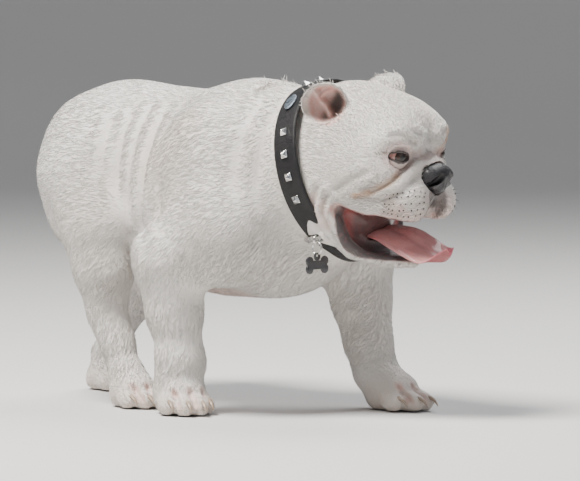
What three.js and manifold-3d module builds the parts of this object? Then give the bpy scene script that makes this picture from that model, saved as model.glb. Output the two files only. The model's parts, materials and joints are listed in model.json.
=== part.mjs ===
// A life-size English bulldog, walking, with a studded collar and a bone-shaped tag.
// Millimetres. X runs forward along the spine, Y to the dog's left, Z up, and the soles lie on Z = 0.
// The flesh is one smooth field of named masses. It is meshed, then parted along thin planes.
import * as THREE from "three";
import { mergeVertices } from "three/addons/utils/BufferGeometryUtils.js";
import Module from "manifold-3d";

const wasm = await Module();
wasm.setup();

// Driving dimensions
const GAP = 0.3; // between pieces that touch
const CHEST_HALF_WIDTH = 116;
const HEAD_CENTRE = [186, 10, 348]; // between the ear roots
const HEAD_YAW = 13; // degrees to the dog's left
const HEAD_PITCH = -8; // degrees, nose down
const EYE = { at: [74, 44, -37], radius: 12.5 };
const COLLAR = { width: 32, thickness: 4, clearance: 1 };

// Cell sizes of the meshes
const CELL = { torso: 25, neck: 22, leg: 18, paw: 11, head: 13, muzzle: 9, jaw: 9.2, nose: 5.6, tail: 10 };

// Vectors and fields
const radians = THREE.MathUtils.degToRad;
const vec = (p) => new THREE.Vector3(...p);
const mirrored = ([x, y, z]) => [x, -y, z];

function ellipsoid(centre, [rx, ry, rz], turn = [0, 0, 0]) {
  const [cx, cy, cz] = centre;
  const euler = new THREE.Euler(...turn.map(radians), "ZYX");
  const inverse = new THREE.Matrix4().makeRotationFromEuler(euler).transpose().elements;
  const plain = turn.every((t) => t === 0);
  return (x, y, z) => {
    let dx = x - cx, dy = y - cy, dz = z - cz;
    if (!plain) {
      const e = inverse;
      [dx, dy, dz] = [
        e[0] * dx + e[4] * dy + e[8] * dz,
        e[1] * dx + e[5] * dy + e[9] * dz,
        e[2] * dx + e[6] * dy + e[10] * dz,
      ];
    }
    const near = Math.hypot(dx / rx, dy / ry, dz / rz);
    const steep = Math.hypot(dx / (rx * rx), dy / (ry * ry), dz / (rz * rz));
    return steep < 1e-9 ? -Math.min(rx, ry, rz) : (near * (near - 1)) / steep;
  };
}

// A limb between two points, its radius running from ra to rb.
function limb(a, b, ra, rb) {
  const [ax, ay, az] = a;
  const [ux, uy, uz] = [b[0] - ax, b[1] - ay, b[2] - az];
  const length2 = ux * ux + uy * uy + uz * uz;
  return (x, y, z) => {
    const dx = x - ax, dy = y - ay, dz = z - az;
    const t = Math.min(1, Math.max(0, (dx * ux + dy * uy + dz * uz) / length2));
    return Math.hypot(dx - t * ux, dy - t * uy, dz - t * uz) - (ra + (rb - ra) * t);
  };
}

// A line of joined limbs: each entry is [point, radius].
function chain(...knots) {
  const links = knots.slice(1).map(([b, rb], i) => limb(knots[i][0], b, knots[i][1], rb));
  return (x, y, z) => links.reduce((d, link) => Math.min(d, link(x, y, z)), Infinity);
}

const softMin = (a, b, k) => {
  const h = Math.max(k - Math.abs(a - b), 0) / k;
  return Math.min(a, b) - h * h * k * 0.25;
};
const softCut = (a, b, k) => -softMin(-a, b, k);

function blend(k, ...fields) {
  return (x, y, z) => {
    let d = fields[0](x, y, z);
    for (let i = 1; i < fields.length; i++) d = softMin(d, fields[i](x, y, z), k);
    return d;
  };
}

// A fold along a line: sunk where depth is positive, raised where it is negative.
function fold(depth, width, ...points) {
  const line = chain(...points.map((p) => [p, 0]));
  return (x, y, z) => {
    const d = line(x, y, z) / width;
    return d > 3 ? 0 : depth * Math.exp(-d * d);
  };
}

// Trunk: symmetrical about Y = 0, so each mass is written for the left side only
const trunkMasses = blend(
  34,
  ellipsoid([5, 0, 248], [155, CHEST_HALF_WIDTH, 119]),
  ellipsoid([76, 0, 230], [70, 104, 90]),
  ellipsoid([38, 0, 290], [95, 80, 68]),
  ellipsoid([-110, 0, 291], [120, 86, 82]),
  ellipsoid([-181, 0, 290], [82, 90, 86]),
  ellipsoid([42, 84, 258], [64, 48, 92], [0, -14, 0]),
  ellipsoid([70, 92, 210], [54, 42, 56]),
  ellipsoid([-190, 60, 262], [64, 44, 90]),
);
const trunk = (x, y, z) => trunkMasses(x, Math.abs(y), z);

// Legs
const LEGS = {
  fore_right: {
    bones: [[[66, -98, 215], 56], [[0, -112, 176], 40], [[2, -108, 120], 30], [[7, -103, 60], 25], [[4, -104, 30], 25]],
    point: [[-26, -116, 188], 18],
    paw: { at: [12, -106, 0], heading: -24, size: 1 },
    cut: { at: [6, -96, 165], down: [0.05, -0.5, -0.86], inner: -66, sill: 62, back: -52, front: 56, lean: 0.1 },
  },
  fore_left: {
    bones: [[[92, 98, 218], 54], [[84, 111, 172], 41], [[98, 106, 124], 32], [[112, 102, 78], 25], [[126, 100, 42], 24]],
    point: [[54, 114, 170], 17],
    paw: { at: [158, 99, 0], heading: 4, size: 1 },
    cut: { at: [84, 96, 163], down: [0.1, 0.5, -0.86], inner: 66, sill: 58, back: 20, front: 300, lean: 0.1 },
  },
  hind_right: {
    bones: [[[-176, -72, 270], 58], [[-140, -88, 212], 42], [[-132, -88, 160], 33], [[-132, -84, 112], 20],
      [[-118, -82, 78], 17], [[-100, -82, 36], 19]],
    point: [[-138, -83, 96], 10],
    paw: { at: [-86, -83, 0], heading: -8, size: 0.9 },
    cut: { at: [-150, -84, 206], down: [0.1, -0.3, -0.95], inner: -30, sill: 54, back: -400, front: -36, lean: 0.34 },
  },
  hind_left: {
    bones: [[[-190, 70, 270], 57], [[-190, 84, 212], 42], [[-198, 80, 165], 34], [[-232, 70, 116], 20],
      [[-250, 64, 92], 17], [[-270, 58, 44], 19]],
    point: [[-260, 66, 102], 10],
    paw: { at: [-266, 57, 0], heading: 4, size: 0.9 },
    cut: { at: [-190, 84, 206], down: [-0.2, 0.3, -0.93], inner: 26, sill: 58, back: -400, front: -110, lean: 0.1 },
  },
};

// Toes in the paw's own frame: [forward, outward] of each toe's middle, and its length factor.
const TOES = [[14, -25, 0.92], [29, -9.5, 1.05], [30, 8.5, 1.05], [15, 24, 0.92]];
const TOE = { half: [17, 10.5, 13], height: 11 };

function pawFrame({ at, heading }) {
  const c = Math.cos(radians(heading)), s = Math.sin(radians(heading));
  return ([f, o, h]) => [at[0] + c * f - s * o, at[1] + s * f + c * o, at[2] + h];
}

function pawField(paw) {
  const place = pawFrame(paw), k = paw.size;
  const scaled = (p) => place(p.map((v) => v * k));
  const sizes = (p, f = 1) => p.map((v) => v * k * f);
  const toes = TOES.map(([f, o, length]) =>
    ellipsoid(scaled([f, o, TOE.height]), sizes(TOE.half, length), [0, 8, paw.heading]));
  return blend(
    5,
    blend(12, ellipsoid(scaled([-4, 0, 19]), sizes([32, 27, 22]), [0, 0, paw.heading]),
      ellipsoid(scaled([-14, 0, 10]), sizes([20, 22, 12]), [0, 0, paw.heading])),
    ...toes,
  );
}

function legField({ bones, point, paw }) {
  const foot = bones[bones.length - 1];
  const links = bones.slice(1).map(([b, rb], i) => limb(bones[i][0], b, bones[i][1], rb));
  return blend(14, blend(22, ...links), limb(point[0], bones[Math.min(3, bones.length - 1)][0], point[1], 8),
    limb(foot[0], [paw.at[0], paw.at[1], 24 * paw.size], foot[1], 22 * paw.size), pawField(paw));
}
const legFields = Object.fromEntries(Object.entries(LEGS).map(([name, leg]) => [name, legField(leg)]));

// Neck
const neckMasses = blend(
  30,
  limb([40, 0, 282], [150, 6, 284], 96, 84),
  limb([60, 0, 240], [150, 6, 270], 82, 66),
  limb([120, 4, 216], [178, 8, 224], 44, 33),
);

// Head, in its own frame: [forward, left, up] from the middle of the line between the ear roots
const headMatrix = new THREE.Matrix4().makeRotationFromEuler(
  new THREE.Euler(0, radians(-HEAD_PITCH), radians(HEAD_YAW), "ZYX")).setPosition(...HEAD_CENTRE);
const headInverse = headMatrix.clone().invert().elements;
const fromHead = (p) => vec(p).applyMatrix4(headMatrix).toArray();

const skull = blend(
  16,
  ellipsoid([0, 0, -26], [74, 70, 62]),
  ellipsoid([44, 26, -14], [44, 37, 37]),
  ellipsoid([36, 0, -12], [50, 40, 38]),
  ellipsoid([71, 38, -10], [15, 17, 13]),
  limb([80, 20, -20], [62, 54, -24], 13, 15),
  ellipsoid([14, 44, -66], [62, 42, 58]),
  ellipsoid([2, 46, -108], [46, 32, 42]),
  ellipsoid([56, 34, -62], [36, 34, 34]),
);
const muzzleMasses = blend(
  9,
  ellipsoid([66, 0, -72], [40, 44, 40]),
  ellipsoid([79, 31, -86], [36, 28, 30]),
  ellipsoid([98, 0, -62], [13, 27, 18]),
);
// The roll over the nose, which runs down each side to the corner of the mouth.
const noseRoll = chain([[95, 0, -41], 12.5], [[91, 22, -45], 12.5], [[87, 39, -58], 12], [[83, 52, -68], 11],
  [[65, 62, -79], 9.5], [[44, 71, -86], 7]);
const lowerJaw = blend(
  14,
  limb([10, 44, -122], [54, 28, -150], 24, 15),
  limb([12, 68, -106], [36, 50, -148], 13, 12),
  ellipsoid([58, 10, -153], [25, 24, 15]),
);
const lowerLip = chain([[23, 70, -114], 5.5], [[29, 67, -130], 6], [[36, 60, -144], 6.5], [[48, 50, -153], 6.5],
  [[66, 34, -158], 6.5], [[80, 20, -159], 6.5], [[88, 0, -159], 6.5]);
// The open mouth, seen from the side: it widens forward, and runs right across.
const mouthLine = chain([[27, 0, -106], 5], [[54, 0, -131], 21], [[112, 0, -131], 20]);
const throatRoom = ellipsoid([42, 0, -122], [38, 36, 24]);
const headFolds = [
  fold(4, 7, [90, 18, -34], [89, 33, -39], [87, 50, -52], [84, 60, -62], [76, 67, -70], [62, 72, -76]),
  fold(2.8, 6, [105, 27, -45], [99, 40, -60], [88, 59, -78], [72, 67, -87], [46, 76, -93]),
  fold(6, 8, [101, 0, -30], [94, 24, -32]),
];

const headLocal = (a, b, c) => {
  const side = Math.abs(b);
  let d = softMin(skull(a, side, c), muzzleMasses(a, side, c), 12);
  d = softMin(d, noseRoll(a, side, c), 6);
  for (const f of headFolds) d += f(a, side, c);
  d = softMin(d, lowerJaw(a, side, c), 10);
  d = softCut(d, mouthLine(a, 0, c), 5);
  d = softCut(d, throatRoom(a, b, c), 8);
  return softMin(d, lowerLip(a, side, c), 8);
};
const head = (x, y, z) => {
  const e = headInverse;
  return headLocal(
    e[0] * x + e[4] * y + e[8] * z + e[12],
    e[1] * x + e[5] * y + e[9] * z + e[13],
    e[2] * x + e[6] * y + e[10] * z + e[14],
  );
};

const body = (x, y, z) => {
  let d = softMin(trunk(x, y, z), neckMasses(x, y, z), 40);
  for (const leg of Object.values(legFields)) d = softMin(d, leg(x, y, z), 20);
  if (x > 60) d = softMin(d, head(x, y, z), 14);
  return d;
};

// Meshing: one vertex for each cell that the surface crosses, then moved onto the surface.
function surface(whole, low, high, cell) {
  const n = low.map((v, i) => Math.ceil((high[i] - v) / cell) + 1);
  const far = low.map((v, i) => v + (n[i] - 2.5) * cell);
  const near = low.map((v) => v + 1.5 * cell);
  const field = (x, y, z) =>
    Math.max(whole(x, y, z), near[0] - x, near[1] - y, near[2] - z, x - far[0], y - far[1], z - far[2]);
  const index = (i, j, k) => i + n[0] * (j + n[1] * k);
  const value = new Float64Array(n[0] * n[1] * n[2]);
  for (let k = 0; k < n[2]; k++)
    for (let j = 0; j < n[1]; j++)
      for (let i = 0; i < n[0]; i++)
        value[index(i, j, k)] = field(low[0] + i * cell, low[1] + j * cell, low[2] + k * cell);
  // A cell face with only opposite corners inside would pinch the skin, so one more corner is filled.
  const steps = [[1, 0, 0], [0, 1, 0], [0, 0, 1]];
  for (let pinched = true; pinched;) {
    pinched = false;
    for (let k = 0; k < n[2] - 1; k++)
      for (let j = 0; j < n[1] - 1; j++)
        for (let i = 0; i < n[0] - 1; i++)
          for (const [u, w] of [[steps[0], steps[1]], [steps[1], steps[2]], [steps[2], steps[0]]]) {
            const q = [[0, 0], [1, 0], [1, 1], [0, 1]].map(([a, b]) =>
              index(i + a * u[0] + b * w[0], j + a * u[1] + b * w[1], k + a * u[2] + b * w[2]));
            const [p0, p1, p2, p3] = q.map((id) => value[id] < 0);
            if (p0 !== p2 || p1 !== p3 || p0 === p1) continue;
            value[q[p0 ? 1 : 0]] = -0.05 * cell;
            pinched = true;
          }
  }
  const vertexOf = new Int32Array(value.length).fill(-1);
  const positions = [];
  const corners = [0, 1, 2, 3, 4, 5, 6, 7].map((b) => [b & 1, (b >> 1) & 1, (b >> 2) & 1]);
  const edges = [];
  for (let a = 0; a < 8; a++)
    for (let b = a + 1; b < 8; b++)
      if ([1, 2, 4].includes(a ^ b)) edges.push([a, b]);
  for (let k = 0; k < n[2] - 1; k++)
    for (let j = 0; j < n[1] - 1; j++)
      for (let i = 0; i < n[0] - 1; i++) {
        const v = corners.map(([a, b, c]) => value[index(i + a, j + b, k + c)]);
        const sum = [0, 0, 0];
        let crossings = 0;
        for (const [a, b] of edges) {
          if (v[a] < 0 === v[b] < 0) continue;
          const t = v[a] / (v[a] - v[b]);
          for (let m = 0; m < 3; m++) sum[m] += corners[a][m] + t * (corners[b][m] - corners[a][m]);
          crossings++;
        }
        if (!crossings) continue;
        vertexOf[index(i, j, k)] = positions.length / 3;
        positions.push(...[i, j, k].map((c, m) => low[m] + (c + sum[m] / crossings) * cell));
      }
  const triangles = [];
  const distance = (a, b) => Math.hypot(...[0, 1, 2].map((m) => positions[3 * a + m] - positions[3 * b + m]));
  for (let k = 1; k < n[2] - 1; k++)
    for (let j = 1; j < n[1] - 1; j++)
      for (let i = 1; i < n[0] - 1; i++)
        steps.forEach((s, axis) => {
          const here = value[index(i, j, k)] < 0;
          if (here === value[index(i + s[0], j + s[1], k + s[2])] < 0) return;
          const [u, w] = [steps[(axis + 1) % 3], steps[(axis + 2) % 3]];
          const q = [[0, 0], [1, 0], [1, 1], [0, 1]].map(([a, b]) =>
            vertexOf[index(i - a * u[0] - b * w[0], j - a * u[1] - b * w[1], k - a * u[2] - b * w[2])]);
          if (!here) q.reverse();
          if (distance(q[0], q[2]) < distance(q[1], q[3])) triangles.push(q[0], q[1], q[2], q[0], q[2], q[3]);
          else triangles.push(q[0], q[1], q[3], q[1], q[2], q[3]);
        });
  const h = 0.5;
  for (let m = 0; m < positions.length; m += 3)
    for (let round = 0; round < 3; round++) {
      const [x, y, z] = positions.slice(m, m + 3);
      const d = field(x, y, z);
      const g = [field(x + h, y, z) - d, field(x, y + h, z) - d, field(x, y, z + h) - d].map((v) => v / h);
      const slope = g[0] * g[0] + g[1] * g[1] + g[2] * g[2] || 1;
      const step = Math.max(-0.4 * cell, Math.min(0.4 * cell, d)) / Math.max(slope, 0.3);
      for (let a = 0; a < 3; a++) positions[m + a] -= step * g[a] * 0.8;
    }
  return new wasm.Manifold(new wasm.Mesh({
    numProp: 3, vertProperties: new Float32Array(positions), triVerts: new Uint32Array(triangles) }));
}

function solid(geometry) {
  const bare = geometry.index ? geometry.clone() : geometry.clone();
  bare.deleteAttribute("normal");
  bare.deleteAttribute("uv");
  const merged = mergeVertices(bare, 1e-3);
  return new wasm.Manifold(new wasm.Mesh({
    numProp: 3, vertProperties: merged.attributes.position.array, triVerts: new Uint32Array(merged.index.array) }));
}

function largest(shape) {
  return shape.decompose().sort((a, b) => b.volume() - a.volume())[0];
}

// A region is where every plane's [point, normal] has the point on its positive side.
const everywhere = solid(new THREE.BoxGeometry(1600, 1600, 1600));
function region(planes, grow) {
  return planes.reduce((shape, [point, normal]) => {
    const n = vec(normal).normalize();
    return shape.trimByPlane(n.toArray(), n.dot(vec(point)) - grow);
  }, everywhere);
}

// Where the body is parted: the head leaves the neck under the collar
const unit = (p) => vec(p).normalize().toArray();
const cross = (p, q) => vec(p).cross(vec(q)).toArray();
const LOOP = { at: [155, 6, 279], axis: unit([0.955, 0.07, 0.27]), steps: 44 };
LOOP.side = unit(cross([0, 0, 1], LOOP.axis));
LOOP.top = cross(LOOP.axis, LOOP.side);
const headAxis = fromHead([1, 0, 0]).map((v, i) => v - HEAD_CENTRE[i]);
const headUp = fromHead([0, 0, 1]).map((v, i) => v - HEAD_CENTRE[i]);
const tilt = (a, c) => headAxis.map((v, i) => a * v + c * headUp[i]);
const REGIONS = {
  head: [[LOOP.at, LOOP.axis], [[160, 0, 190], [0.4, 0, 0.92]]],
  neck: [[[86, 0, 250], [1, 0.04, 0.18]], [[120, 0, 196], [0.4, 0, 0.92]]],
  muzzle: [[fromHead([94, 0, -26]), tilt(0.86, -0.5)], [fromHead([64, 0, -117]), tilt(0.33, 0.94)]],
  lower_jaw: [[fromHead([30, 0, -108]), tilt(0.97, -0.2)], [fromHead([64, 0, -117]), tilt(-0.33, -0.94)]],
};
for (const [name, { cut, paw }] of Object.entries(LEGS)) {
  REGIONS[name] = [[cut.at, cut.down], [[0, cut.inner, 0], [0, Math.sign(cut.inner), 0]],
    [[cut.back, 0, 0], [1, 0, 0]], [[cut.front, 0, 60], [-1, 0, -cut.lean]]];
  REGIONS[`${name}_paw`] = [[[paw.at[0], paw.at[1], cut.sill * 0.8], [0.15, 0, -1]]];
}

const made = {};
const boxOf = ([cx, cy, cz], hx, hy, hz) => [[cx - hx, cy - hy, cz - hz], [cx + hx, cy + hy, cz + hz]];
function part(name, [low, high], cell, inside, outside) {
  let shape = surface(body, low, high, cell);
  for (const r of inside) shape = shape.intersect(region(REGIONS[r], -GAP / 2));
  for (const r of outside) shape = shape.subtract(region(REGIONS[r], GAP / 2));
  made[name] = largest(shape.trimByPlane([0, 0, 1], 0));
}

const legNames = Object.keys(LEGS);
part("torso", [[-330, -190, -30], [200, 190, 430]], CELL.torso, [], ["neck", "head", ...legNames]);
part("neck", [[30, -200, 70], [270, 210, 440]], CELL.neck, ["neck"], ["head", ...legNames]);
const headBox = boxOf(fromHead([40, 0, -62]), 150, 150, 150);
part("head", headBox, CELL.head, ["head"], ["muzzle", "lower_jaw"]);
part("muzzle", headBox, CELL.muzzle, ["head", "muzzle"], []);
part("lower_jaw", headBox, CELL.jaw, ["head", "lower_jaw"], []);
for (const name of legNames) {
  const { bones, paw } = LEGS[name];
  const xs = bones.map(([p]) => p[0]).concat(paw.at[0]);
  const ys = bones.map(([p]) => p[1]).concat(paw.at[1]);
  const low = [Math.min(...xs) - 80, Math.min(...ys) - 70, -40];
  const high = [Math.max(...xs) + 80, Math.max(...ys) + 70, 300];
  part(`leg_${name}`, [low, high], CELL.leg, [name], [`${name}_paw`]);
  part(`paw_${name}`, [low, [high[0], high[1], 80]], CELL.paw, [name, `${name}_paw`], []);
}

// A closed skin through rings of points: capped at both ends, or joined end to start.
function loft(rings, ring = false) {
  const m = rings[0].length, positions = rings.flat(2), triangles = [];
  const id = (r, i) => (r % rings.length) * m + (i % m);
  const last = ring ? rings.length : rings.length - 1;
  for (let r = 0; r < last; r++)
    for (let i = 0; i < m; i++)
      triangles.push(id(r, i), id(r, i + 1), id(r + 1, i + 1), id(r, i), id(r + 1, i + 1), id(r + 1, i));
  if (!ring)
    for (const [r, turn] of [[0, false], [rings.length - 1, true]]) {
      const hub = positions.length / 3;
      positions.push(...[0, 1, 2].map((a) => rings[r].reduce((sum, p) => sum + p[a], 0) / m));
      for (let i = 0; i < m; i++)
        triangles.push(hub, ...(turn ? [id(r, i), id(r, i + 1)] : [id(r, i + 1), id(r, i)]));
    }
  const shape = new wasm.Manifold(new wasm.Mesh({
    numProp: 3, vertProperties: new Float32Array(positions), triVerts: new Uint32Array(triangles) }));
  return shape.volume() < 0 ? loft(rings.map((points) => [...points].reverse()), ring) : shape;
}
const turns = (n) => Array.from({ length: n }, (_, i) => (2 * Math.PI * i) / n);
const at = (origin, ...terms) => origin.map((v, i) => terms.reduce((sum, [k, dir]) => sum + k * dir[i], v));
const headShape = (shape) => shape.transform(headMatrix.toArray());
const flipped = (shape) => shape.mirror([0, 1, 0]);

// Ears: a cup whose rim stands up and folds back to the tip, thinner towards the rim.
const EAR = { opens: [0.42, 0.9, 0.02], depth: 20, thickness: 5, sides: 20 };
const EARS = {
  right: { at: [-15, 57, 7], upright: 0 },
  left: { at: [-4, 56, 8], upright: 9 },
};
function earLayer({ at: middle, upright }, s, lift, raise = 0) {
  const out = unit(EAR.opens), forward = unit(cross(out, [0, 0, -1]));
  const rise = cross(forward, out).map((v) => -v);
  return turns(EAR.sides).map((t) => {
    const reach = 24 + 6 * Math.max(0, Math.cos(t + 0.2)) ** 3 + 1.5 * Math.sin(t)
      - 6 * Math.max(0, Math.cos(t - 3.9)) ** 2 + upright * Math.max(0, Math.cos(t - 1.5)) ** 2;
    const stand = 6 + 9 * Math.cos(t - 2.2) + 4 * Math.cos(2 * t - 3.4);
    const r = (reach + lift * 0.6) * Math.sin((s * Math.PI) / 2) ** 0.8;
    const h = raise - EAR.depth - lift + (EAR.depth + stand + lift) * s ** 2.2;
    return at(middle, [r * Math.cos(t), forward], [r * Math.sin(t), rise], [h, out]);
  });
}
const earSteps = [0.12, 0.45, 0.75, 1];
const earWall = (s) => EAR.thickness * (1.15 - 0.5 * s);
const ear = (place) => loft([...earSteps.map((s) => earLayer(place, s, 0)),
  ...[...earSteps].reverse().map((s) => earLayer(place, s, earWall(s)))]);
const earRoom = (place) => loft([...earSteps.map((s) => earLayer(place, s, earWall(s) + GAP)),
  earLayer(place, 1, earWall(1) + GAP, 40)]);

// Eyes and their lids: a shell round the ball with an almond opening.
const GAZE = unit([0.8, 0.6, 0.02]);
const LID = { inner: EYE.radius, outer: EYE.radius + 3.2, socket: EYE.radius + 4.1, wide: 0.98, high: 0.36, edge: 1.5, sides: 16 };
const ball = (r) => solid(new THREE.SphereGeometry(r, 16, 11).translate(...EYE.at));
function lids() {
  const side = unit(cross([0, 0, 1], GAZE)), lift = cross(GAZE, side);
  const ringAt = (angle, r) => turns(LID.sides).map((t) => {
    const a = angle === "rim" ? 1 / Math.hypot(Math.cos(t) / LID.wide, Math.sin(t) / LID.high) : angle;
    return at(EYE.at, [r * Math.cos(a), GAZE], [r * Math.sin(a) * Math.cos(t), side],
      [r * Math.sin(a) * Math.sin(t), lift]);
  });
  const between = (r) => [0.4, 0.75].map((k) => ringAt(LID.wide + k * (LID.edge - LID.wide), r));
  const [la, lb] = between(LID.inner), [ha, hb] = between(LID.outer);
  return loft([ringAt("rim", LID.inner), la, lb, ringAt(LID.edge, LID.inner), ringAt(LID.edge, LID.outer), hb, ha,
    ringAt("rim", LID.outer)], true);
}

// Nose leather, with a nostril on each side that runs out to a slit.
const noseMasses = blend(6, ellipsoid([104, 0, -56], [15, 20, 15]), ellipsoid([103, 15, -58], [15, 12, 13]),
  ellipsoid([104, 0, -68], [13, 12, 9]));
const nostrils = chain([[119, 11, -55], 4.5], [[113, 16, -61], 3.2], [[106, 24, -66], 2]);
const inHeadFrame = (field) => (x, y, z) => {
  const e = headInverse;
  return field(e[0] * x + e[4] * y + e[8] * z + e[12], e[1] * x + e[5] * y + e[9] * z + e[13],
    e[2] * x + e[6] * y + e[10] * z + e[14]);
};
const noseField = inHeadFrame((a, b, c) =>
  softCut(noseMasses(a, Math.abs(b), c), nostrils(a, Math.abs(b), c), 2));
const noseBox = boxOf(fromHead([104, 0, -60]), 36, 48, 36);

// Tongue: a strap that lolls over the lower lip to the right, its tip curled up.
// Each row: [forward, left, up], half width, droop of the edges, half thickness and roll in degrees
const TONGUE = [
  [[6, 0, -148], 13, 0, 5, 0],
  [[26, -1, -136], 18, 0, 5, 4],
  [[48, -3, -129], 23, 2, 5, 14],
  [[70, -5, -130], 25, 3, 4.5, 26],
  [[86, -6, -133], 26, 4, 4, 30],
  [[101, -7, -138], 26, 3, 3.6, 29],
  [[114, -7, -143], 25, 0, 3.4, 24],
  [[124, -7, -147], 22, -6, 3.2, 16],
  [[132, -6, -147], 17, -10, 3, 8],
  [[137, -5, -142], 9, -9, 2.2, 4],
];
const tongue = (grow) => loft(TONGUE.map(([[a, b, c], wide, droop, thick, roll], row) =>
  turns(14).map((t) => {
    const across = Math.cos(t), cr = Math.cos(radians(roll)), sr = Math.sin(radians(roll));
    const y = across * (wide + grow);
    const z = (thick + grow) * Math.sin(t) - droop * across * across;
    return [row === 0 ? a - grow : a, b + cr * y - sr * z, c + sr * y + cr * z];
  })));

// Tail: short, low and kinked.
const tailField = chain([[-252, 0, 318], 17], [[-272, 2, 300], 13], [[-278, 6, 276], 9], [[-274, 12, 262], 5]);

// Claws curve down from the end of each toe.
function claw(paw, [f, o], length, grow) {
  const place = pawFrame(paw), k = paw.size, tip = f + TOE.half[0] * length;
  const knots = [[-8 - grow, 17, 3.6], [-1, 15.5, 3.2], [4, 12, 2.4], [7, 7, 0.9]];
  return loft(knots.map(([a, h, r]) => turns(5).map((t) =>
    place([tip + a, o + (r + grow) * Math.cos(t), h + (r + grow) * Math.sin(t)].map((v) => v * k)))));
}

// Collar: a band that lies on the neck, wide round the top and narrow under the throat.
const nape = (x, y, z) => softMin(trunk(x, y, z), neckMasses(x, y, z), 40);
const loopWidth = (t) => COLLAR.width - 13 * THREE.MathUtils.smoothstep(-Math.sin(t), 0.78, 0.9);
function reachOf(t, shift) {
  let [low, high] = [40, 160];
  for (let i = 0; i < 24; i++) {
    const r = (low + high) / 2;
    const p = at(LOOP.at, [r * Math.cos(t), LOOP.side], [r * Math.sin(t), LOOP.top], [shift, LOOP.axis]);
    if (nape(...p) < 0) low = r;
    else high = r;
  }
  return low;
}
const loopReach = (t) => Math.max(...[-16, 0, 16].map((shift) => reachOf(t, shift))) + COLLAR.clearance;
const onLoop = (t, r, shift = 0) =>
  at(LOOP.at, [r * Math.cos(t), LOOP.side], [r * Math.sin(t), LOOP.top], [shift, LOOP.axis]);
function band(grow) {
  return loft(turns(LOOP.steps).map((t) => {
    const r = loopReach(t), half = loopWidth(t) / 2 + grow, thick = COLLAR.thickness + grow;
    return [[r - grow, -half], [r + thick - 1, -half], [r + thick, -half + 2], [r + thick, half - 2],
      [r + thick - 1, half], [r - grow, half]].map(([q, shift]) => onLoop(t, q, shift));
  }), true);
}
// A frame on the band at an angle: its outward, along and across directions.
function seat(t, lift = 0) {
  const r = loopReach(t) + COLLAR.thickness + GAP + lift, step = 0.05;
  const along = unit(at(onLoop(t + step, loopReach(t + step)),
    [-1, onLoop(t - step, loopReach(t - step))]));
  const out = unit(cross(along, LOOP.axis));
  const basis = new THREE.Matrix4().makeBasis(vec(along), vec(LOOP.axis), vec(out).negate());
  if (basis.determinant() < 0) basis.makeBasis(vec(along), vec(LOOP.axis), vec(out));
  return basis.setPosition(...onLoop(t, r));
}
const placed = (geometry, matrix) => solid(geometry.applyMatrix4(matrix));

for (const side of ["right", "left"]) {
  const facing = side === "left" ? (shape) => headShape(shape) : (shape) => headShape(flipped(shape));
  made[`ear_${side}`] = largest(facing(ear(EARS[side])));
  made.head = largest(made.head.subtract(facing(earRoom(EARS[side]))).subtract(facing(ball(LID.socket))));
  made.muzzle = largest(made.muzzle.subtract(facing(ball(LID.socket))));
  made[`eye_${side}`] = facing(ball(EYE.radius));
  made[`eyelids_${side}`] = largest(facing(lids().subtract(ball(EYE.radius + GAP))));
}
made.nose = largest(surface(noseField, ...noseBox, CELL.nose));
made.muzzle = largest(made.muzzle.subtract(surface((...p) => noseField(...p) - 3 * GAP, ...noseBox, CELL.nose)));
made.tongue = headShape(tongue(0));
for (const name of ["neck", "head", "lower_jaw"])
  made[name] = largest(made[name].subtract(headShape(tongue(GAP))));

const tailBox = [[-310, -40, 230], [-200, 50, 350]];
made.tail = largest(surface(tailField, ...tailBox, CELL.tail));
made.torso = largest(made.torso.subtract(surface((...p) => tailField(...p) - 3 * GAP, ...tailBox, CELL.tail)));

for (const [name, { paw }] of Object.entries(LEGS))
  TOES.forEach(([f, o, length], i) => {
    made[`paw_${name}`] = made[`paw_${name}`].subtract(claw(paw, [f, o], length, GAP));
    made[`claw_${name}_${i + 1}`] = claw(paw, [f, o], length, 0);
  });

// Collar fittings
made.collar = band(0);
for (const name of ["torso", "neck", "head", "lower_jaw", "ear_left", "ear_right"])
  made[name] = largest(made[name].subtract(band(GAP)));
const loopPoint = (t) => onLoop(t, loopReach(t) + COLLAR.thickness);
const loopTurns = Array.from({ length: 721 }, (_, i) => Math.PI / 2 + (i * Math.PI) / 360);
const along = [0];
for (let i = 1; i < loopTurns.length; i++)
  along.push(along[i - 1] + vec(loopPoint(loopTurns[i])).distanceTo(vec(loopPoint(loopTurns[i - 1]))));
const round = along[720];
// The angle at a distance along the band from its top: down the right side first.
const turnAt = (distance) => loopTurns[along.findIndex((d) => d >= ((distance % round) + round) % round)];

const PLATE = { from: 66, size: [24, 15, 1.8] };
made.collar_plate = placed(new THREE.CylinderGeometry(0.5, 0.5, 1, 18).rotateX(Math.PI / 2)
  .scale(...PLATE.size).translate(0, 0, PLATE.size[2] / 2), seat(turnAt(PLATE.from)));

// Studs sit at equal steps along the band, apart from the ones that the plate takes up.
const STUD = { size: 9.5, height: 5.5, spacing: 27, right: [108, 189], left: [-162, 27] };
const pyramid = () => new THREE.ConeGeometry(STUD.size * Math.SQRT1_2, STUD.height, 4)
  .rotateY(Math.PI / 4).rotateX(Math.PI / 2).translate(0, 0, STUD.height / 2);
const studDistances = [STUD.right, STUD.left].flatMap(([first, last]) =>
  Array.from({ length: (last - first) / STUD.spacing + 1 }, (_, i) => first + i * STUD.spacing));
studDistances.forEach((distance, i) => {
  made[`stud_${String(i + 1).padStart(2, "0")}`] = placed(pyramid(), seat(turnAt(distance)));
});

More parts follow.
